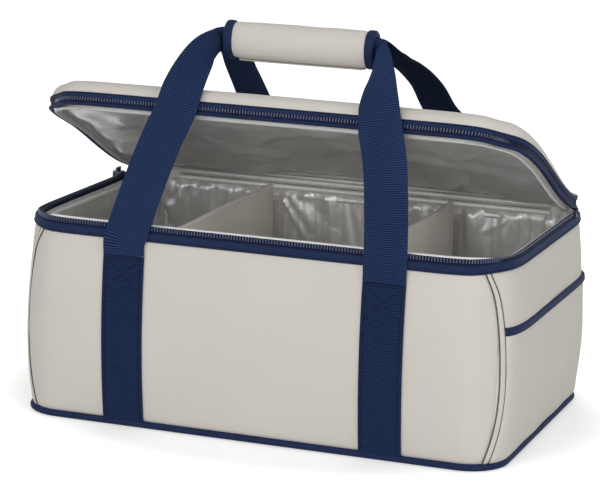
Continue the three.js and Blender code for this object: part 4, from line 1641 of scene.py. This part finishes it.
def openLid(points):
    points = np.array(points, float)
    back = hinge[0] - points[:, 1]
    up = points[:, 2] - hinge[1]
    share = np.zeros(len(points))
    for _ in range(40):
        angle = openAngle * share
        y = hinge[0] - back * np.cos(angle) + up * np.sin(angle)
        share = smooth((lid["bendFrom"] - y) / (lid["bendFrom"] - lid["bendTo"]))
    # pulled part of the way towards one crease between the zip ends
    run = np.maximum(hinge[0] - y, 0)
    bent = run * np.tan(angle)
    creased = lidSlope * lid["creaseSoft"] * np.logaddexp(0, (run - lid["creaseAt"]) / lid["creaseSoft"])
    points[:, 1] = y
    points[:, 2] = hinge[1] + back * np.sin(angle) + up * np.cos(angle)
    pulled = lid["creaseShare"] * (creased - bent) * smooth(run / lid["creaseFade"])
    # the padded middle stays nearer to one flat plate
    firm = lid["firm"] * (1 - smooth(np.abs(points[:, 0]) / lid["firmReach"]))
    plate = run * math.tan(openAngle)
    points[:, 2] += pulled + firm * (plate - bent - pulled)
    return points


def bendWithLid(piece):
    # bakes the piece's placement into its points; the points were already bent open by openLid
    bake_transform(piece)


def lidPiece(name, node, points, faces, finish, uv=None):
    bendWithLid(makePiece(name, openLid(points), faces, finish, None, uv, node))


def lidBand(name, node, s, profile, finish):
    points, faces, uv = sweepRim(s, profile, False)
    lidPiece(name, node, points, faces, finish, uv)


def lidSlab(name, node, top, bottom, finish):
    top, bottom = [openLid(side.reshape(-1, 3)).reshape(side.shape) for side in (top, bottom)]
    piece = slabPiece(name, top, bottom, finish, None, node)
    bendWithLid(piece)
    return piece


shoulder = np.linspace(0, math.pi / 2, 11)
shoulderInset = lid["run"] * (1 - np.cos(shoulder))
shoulderRise = lid["drop"] * np.sin(shoulder)
lidInsets = list(shoulderInset) + [lid["run"] + 0.006, ringGrid["edge"]]
lidInward = np.arange(1, lid["inward"] + 1) / lid["inward"]
lidRise = np.concatenate([shoulderRise, np.full(2 + lid["inward"], lid["drop"])])
lidMiddle = np.concatenate([np.zeros(len(shoulder)), [0.08, 0.16], 0.16 + 0.84 * lidInward])


def dome(depth):
    flat = rings(-depth, lidInsets, lid["inward"], bag["height"])
    crown = lid["crown"] * np.sin(np.clip(lidMiddle * 1.25, 0, 1) * math.pi / 2)
    beside = smooth((np.abs(flat[..., 0]) - lid["thinFrom"]) / lid["thinReach"])
    forward = smooth((bag["halfDepth"] - lid["thinBack"] - flat[..., 1]) / lid["thinReach"])
    thin = 1 - lid["backThin"] * beside * (1 - forward)
    rise = (lidRise + crown) * thin * (1 - depth / (lid["drop"] + lid["crown"]))
    place = np.dstack([flat, lid["bindingHigh"] - lid["tuck"] + rise])
    place[..., 2] += lid["cloud"] * wave(place, lid["cloudPitch"], 51) * smooth(lidMiddle * 4)
    return place


lidSlab("lid_cloth", "lid_panel", dome(0), dome(bag["cloth"]), canvas)
padTop = dome(foamInset)
padBottom = padTop.copy()
padBottom[..., 2] = lid["liningZ"] + lid["padGap"]
padding = lidSlab("lid_padding", "lid_foam", padTop, padBottom, foam)

# the lid's lining hangs a little slack between its edges
slack = {
    "rows": [0.0, 0.002, 0.004, 0.007, 0.010, 0.014, 0.019, ringGrid["edge"]],
    "inward": 34,
    "reach": 0.02,
    "hang": 0.0018,
    "sag": 0.0016,
    "sagPitch": 0.055,
    "wideSag": 0.0010,
    "widePitch": 0.11,
    "sagRange": (-0.0015, 0.004),
    "crease": 0.0026,
    "creasePitch": 0.10,
}
liningFlat = rings(-foamInset, slack["rows"], slack["inward"], bag["height"])
liningOver = np.dstack([liningFlat, np.full(liningFlat.shape[:2], lid["liningZ"] + bag["lining"])])
slackShare = smooth(np.array(slack["rows"] + [0.05] * slack["inward"]) / slack["reach"])[None, :]
sag = slack["sag"] * wave(liningFlat, slack["sagPitch"], 61)
sag = sag + slack["wideSag"] * wave(liningFlat, slack["widePitch"], 62)
crease = slack["crease"] * (1 - np.abs(wave(liningFlat, slack["creasePitch"], 63))).clip(0, 1) ** 3
liningUnder = liningOver.copy()
liningUnder[..., 2] -= bag["lining"] + (slack["hang"] + sag.clip(*slack["sagRange"]) + crease) * slackShare
lidSlab("lid_lining", "lid_liner", liningOver, liningUnder, lining)

profile = roundedBand(lid["bindingLow"], lid["bindingHigh"], *rim["binding"])
lidBand("lid_binding_roll", "lid_binding", wholeRim, profile, trim)
points, faces = stitchRow(levelLine(wholeRim, rim["stitchOut"], lid["bindingHigh"] - rim["stitchIn"]))
lidPiece("lid_binding_stitches", None, points, faces, navyThread)
profile = roundedBand(*lid["zipBand"])
lidBand("lid_zip_band", "lid_zip_tape", rimSamples(*zipS), profile, zipTape)
profile = roundedBand(lid["hingeLow"], lid["hingeHigh"], *rim["hinge"])
lidBand("lid_hinge_band", "lid_hinge_tape", rimSamples(*hingeS), profile, trim)
points, faces = teethRow(bag["height"] + lid["toothUp"], 0.0, False)
lidPiece("lid_zip_teeth_row", "lid_zip_teeth", points, faces, teeth)
lidBand("lid_zip_roll", None, wholeRim, oval(*lid["zipRoll"]), trim)
profile = roundedBand(*lid["border"])
lidBand("lid_lining_border", "lid_lining_edge", wholeRim, profile, lining)
# the lid's pale edge takes the darker copy: painted shade
lidBand("lid_pale_edge", None, wholeRim, oval(*lid["edge"]), shadedLidEdge)
print("lid made")

# dividers: padded boards with a pale bound top edge

dividerFoot, dividerTop = [corner.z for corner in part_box("left_divider")]
dividerTall = dividerTop - dividerFoot


def dividerPiece(name, x, body):
    z = np.concatenate([[0, 0.001, 0.0025], np.linspace(0.005, 1, 30) * (dividerTall - 0.001)]) + dividerFoot
    reach = bag["halfDepth"] + swell(z) - divider["edge"]
    share = np.sort(np.concatenate([np.linspace(-1, 1, 56), [-0.998, -0.99, 0.99, 0.998]]))
    inside = 1 - np.abs(share)[:, None]
    y = share[:, None] * reach[None, :]
    tall = np.broadcast_to(z, y.shape)
    edge = np.minimum(np.minimum(inside, 1) * reach[None, :], tall - dividerFoot) / divider["round"]
    rounded = np.sqrt(1 - (1 - np.clip(edge, 0, 1)) ** 2)
    rearBand = smooth((y - (reach[None, :] - divider["band"])) / divider["bandReach"])
    half = divider["half"] * (0.3 + 0.7 * rounded) - divider["bandSink"] * rearBand
    seed = 71 + int(x > 0)
    lean = divider["lean"] * wave(np.dstack([y, tall]), divider["leanPitch"], seed) * smooth(inside * 3)
    layers = [np.dstack([x + lean + sign * half, y, tall]) for sign in (1, -1)]
    uv = np.dstack([y, tall])
    piece = makePiece(
        f"{name}_divider_board", layered(*layers), sheetFaces(*y.shape), dividerCloth, body,
        layered(uv, uv), f"{name}_divider",
    )
    # the bound edge is drawn down and narrowed at its ends
    spine = np.column_stack([x + lean[:, -1], y[:, -1], tall[:, -1] - divider["edgeSink"]])
    spine[:, 2] -= divider["edgeDrop"] * smooth((share - 0.965) / 0.035)
    section = oval(0, 0, divider["edgeWide"], divider["edgeTall"])
    narrow = 1 - 0.35 * smooth((np.abs(share) - 0.96) / 0.04)
    points = [(p[0] + a * n, p[1], p[2] + b) for p, n in zip(spine, narrow) for a, b in section]
    faces = tubeFaces(len(share), len(section))
    makePiece(f"{name}_divider_edge", points, faces, dividerEdge, body)


hookTape = {"stand": 0.0012, "dip": 0.0005, "thick": 0.0009}


def hookStrip(name, end, x, body):
    node = f"{name}_divider_{end}_tape"
    low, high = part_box(node)
    heights = np.linspace(low.z, high.z, 26)
    share = np.linspace(-1, 1, 9)[:, None]
    stand = bag["halfDepth"] + swell(heights) - wallInset - bag["gap"] - hookTape["stand"]
    y = stand[None, :] + hookTape["dip"] * np.abs(share) ** 6
    across = np.broadcast_to(x + share * (high.x - low.x) / 2, y.shape)
    grid = np.dstack([across, y, np.broadcast_to(heights, y.shape)])
    if end == "front":
        grid = (grid * (1, -1, 1))[::-1]
    uv = grid[..., [0, 2]]
    clothPiece(f"{name}_{end}_hook_strip", node, grid, uv, hookTape["thick"], hook, body)


for name, side in (("left", -1), ("right", 1)):
    dividerPiece(name, side * divider["x"], f"{name}_partition")
    for end in ("front", "back"):
        hookStrip(name, end, side * divider["x"], f"{name}_partition")
print("dividers made")

# metal and board pieces keep their construction, with softened edges

plainFinishes = {
    "zip_slider": metal,
    "zip_pull": metal,
    "left_zip_stop": metal,
    "right_zip_stop": metal,
    "base_board": board,
}
for node, finish in plainFinishes.items():
    part = nodes[node]
    part.data.materials.clear()
    part.data.materials.append(finish)
    ease = part.modifiers.new("ease", "BEVEL")
    ease.width = 0.0003
    ease.segments = 2
    ease.limit_method = "ANGLE"
print("metal pieces finished")

# cloth sizes: each piece's cloth area is worked out, and nothing is kept


def clothArea(piece):
    return sum(face.area for face in piece.data.polygons) / 2


def declarePanel(name):
    # a rectangle as tall as the panel and as wide as its cloth needs
    piece = scene.objects[name]
    heights = [corner.co.z for corner in piece.data.vertices]
    tall = max(heights) - min(heights)
    clothArea(piece) / tall


def declareCut(name, width, length):
    # a shape cut from a rectangle
    piece = scene.objects[name]
    area = min(clothArea(piece), width * length)


for side in wallEnds:
    declarePanel(f"{side}_cloth")
    declarePanel(f"{side}_lining")
declarePanel("hinge_band")
declarePanel("pocket_cloth")
wholeLength = 2 * bag["halfLength"]
wholeDepth = 2 * bag["halfDepth"]
turnedDown = 2 * lid["drop"]
declareCut("base_cloth", wholeLength, wholeDepth)
declareCut("base_lining", wholeLength, wholeDepth)
declareCut("lid_cloth", wholeLength + turnedDown, wholeDepth + turnedDown)
declareCut("lid_lining", wholeLength, wholeDepth)
for name, length in loopLength.items():
    declareCut(name, strap["width"], length)

# studio: pale floor, soft lamps, the photograph's camera

view = {
    "yaw": 20.005,
    "pitch": 12.467,
    "roll": 1.615,
    "distance": 2.26376,
    "shiftX": 0.008627,
    "shiftZ": -0.049266,
    "focalPixels": 2518.077,
    "framePixels": 600,
    "sensor": 36.0,
    "target": (0.0, 0.0, 0.090),
}


def placeCamera():
    yaw, pitch, roll = [math.radians(view[k]) for k in ("yaw", "pitch", "roll")]
    back = Vector((math.sin(yaw) * math.cos(pitch), -math.cos(yaw) * math.cos(pitch), math.sin(pitch)))
    level = Vector((math.cos(yaw), math.sin(yaw), 0))
    upright = back.cross(level)
    right = level * math.cos(roll) + upright * math.sin(roll)
    up = upright * math.cos(roll) - level * math.sin(roll)
    eye = Vector(view["target"]) + back * view["distance"] - right * view["shiftX"] - up * view["shiftZ"]
    data = bpy.data.cameras.new("photo_camera")
    data.sensor_width = view["sensor"]
    data.lens = view["focalPixels"] / view["framePixels"] * view["sensor"]
    camera = bpy.data.objects.new("photo_camera", data)
    scene.collection.objects.link(camera)
    axes = Matrix((right, up, back)).transposed().to_4x4()
    camera.matrix_world = Matrix.Translation(eye) @ axes
    scene.camera = camera


studio = {
    "world": 0.42,
    "floorGrey": 0.80,
    "floorGlow": 0.72,
    "floorHalf": 9.0,
    "floorGap": 0.0002,
    "shadowX": 0.300,
    "shadowY": 0.235,
    "shadowFrom": 0.80,
    "shadowTo": 1.06,
    "shadowTone": 0.50,
}
# of each lamp: name, place, size, power
lamps = [
    ("key", (-1.2, -3.2, 1.9), 2.2, 27.0),
    ("front", (0.7, -3.2, 0.85), 1.1, 30.0),
    ("side", (2.8, -1.0, 1.4), 2.0, 26.0),
    ("top", (0.2, 0.6, 3.0), 2.6, 3.0),
]


def addLamp(name, place, size, power):
    data = bpy.data.lights.new(name, "AREA")
    data.shape = "SQUARE"
    data.size = size
    data.energy = power
    lamp = bpy.data.objects.new(name, data)
    scene.collection.objects.link(lamp)
    lamp.location = place
    lamp.rotation_euler = (Vector(view["target"]) - Vector(place)).to_track_quat("-Z", "Y").to_euler()


def makeWorld():
    world = bpy.data.worlds.new("studio")
    scene.world = world
    world.use_nodes = True
    sky = Wiring(world.node_tree)
    limits = {"Value": sky.seenRays(), "To Min": studio["world"], "To Max": 1.0}
    background = sky.tree.nodes["Background"]
    background.inputs["Color"].default_value = (1, 1, 1, 1)
    sky.plug(background.inputs["Strength"], sky.make("ShaderNodeMapRange", None, limits))


def makeFloor():
    half = studio["floorHalf"]
    corners = [(-half, -half, 0), (half, -half, 0), (half, half, 0), (-half, half, 0)]
    mesh = bpy.data.meshes.new("floor")
    mesh.from_pydata(corners, [], [(0, 1, 2, 3)])
    floor = bpy.data.objects.new("floor", mesh)
    floor.location.z = -studio["floorGap"]
    scene.collection.objects.link(floor)
    finish = Finish("pale_floor", (studio["floorGrey"],) * 3, 0.9, Specular_IOR_Level=0.1)
    # the floor glows less in an oval round the bag's foot: a painted contact shadow
    spread = (1 / studio["shadowX"], 1 / studio["shadowY"], 0)
    flat = finish.make("ShaderNodeVectorMath", {"operation": "MULTIPLY"}, {0: finish.place(), 1: spread})
    away = finish.make("ShaderNodeVectorMath", {"operation": "LENGTH"}, {0: flat}, "Value")
    limits = {"Value": away, "From Min": studio["shadowFrom"], "From Max": studio["shadowTo"]}
    fade = finish.make("ShaderNodeMapRange", {"interpolation_type": "SMOOTHSTEP"}, limits)
    finish.feed("Emission Color", finish.between(fade, (studio["shadowTone"],) * 3 + (1,), (1, 1, 1, 1)))
    finish.feed("Emission Strength", finish.seenRays() * studio["floorGlow"])
    mesh.materials.append(finish.material)


placeCamera()
for lamp in lamps:
    addLamp(*lamp)
makeWorld()
makeFloor()
scene.view_settings.view_transform = "Standard"
print("studio made")
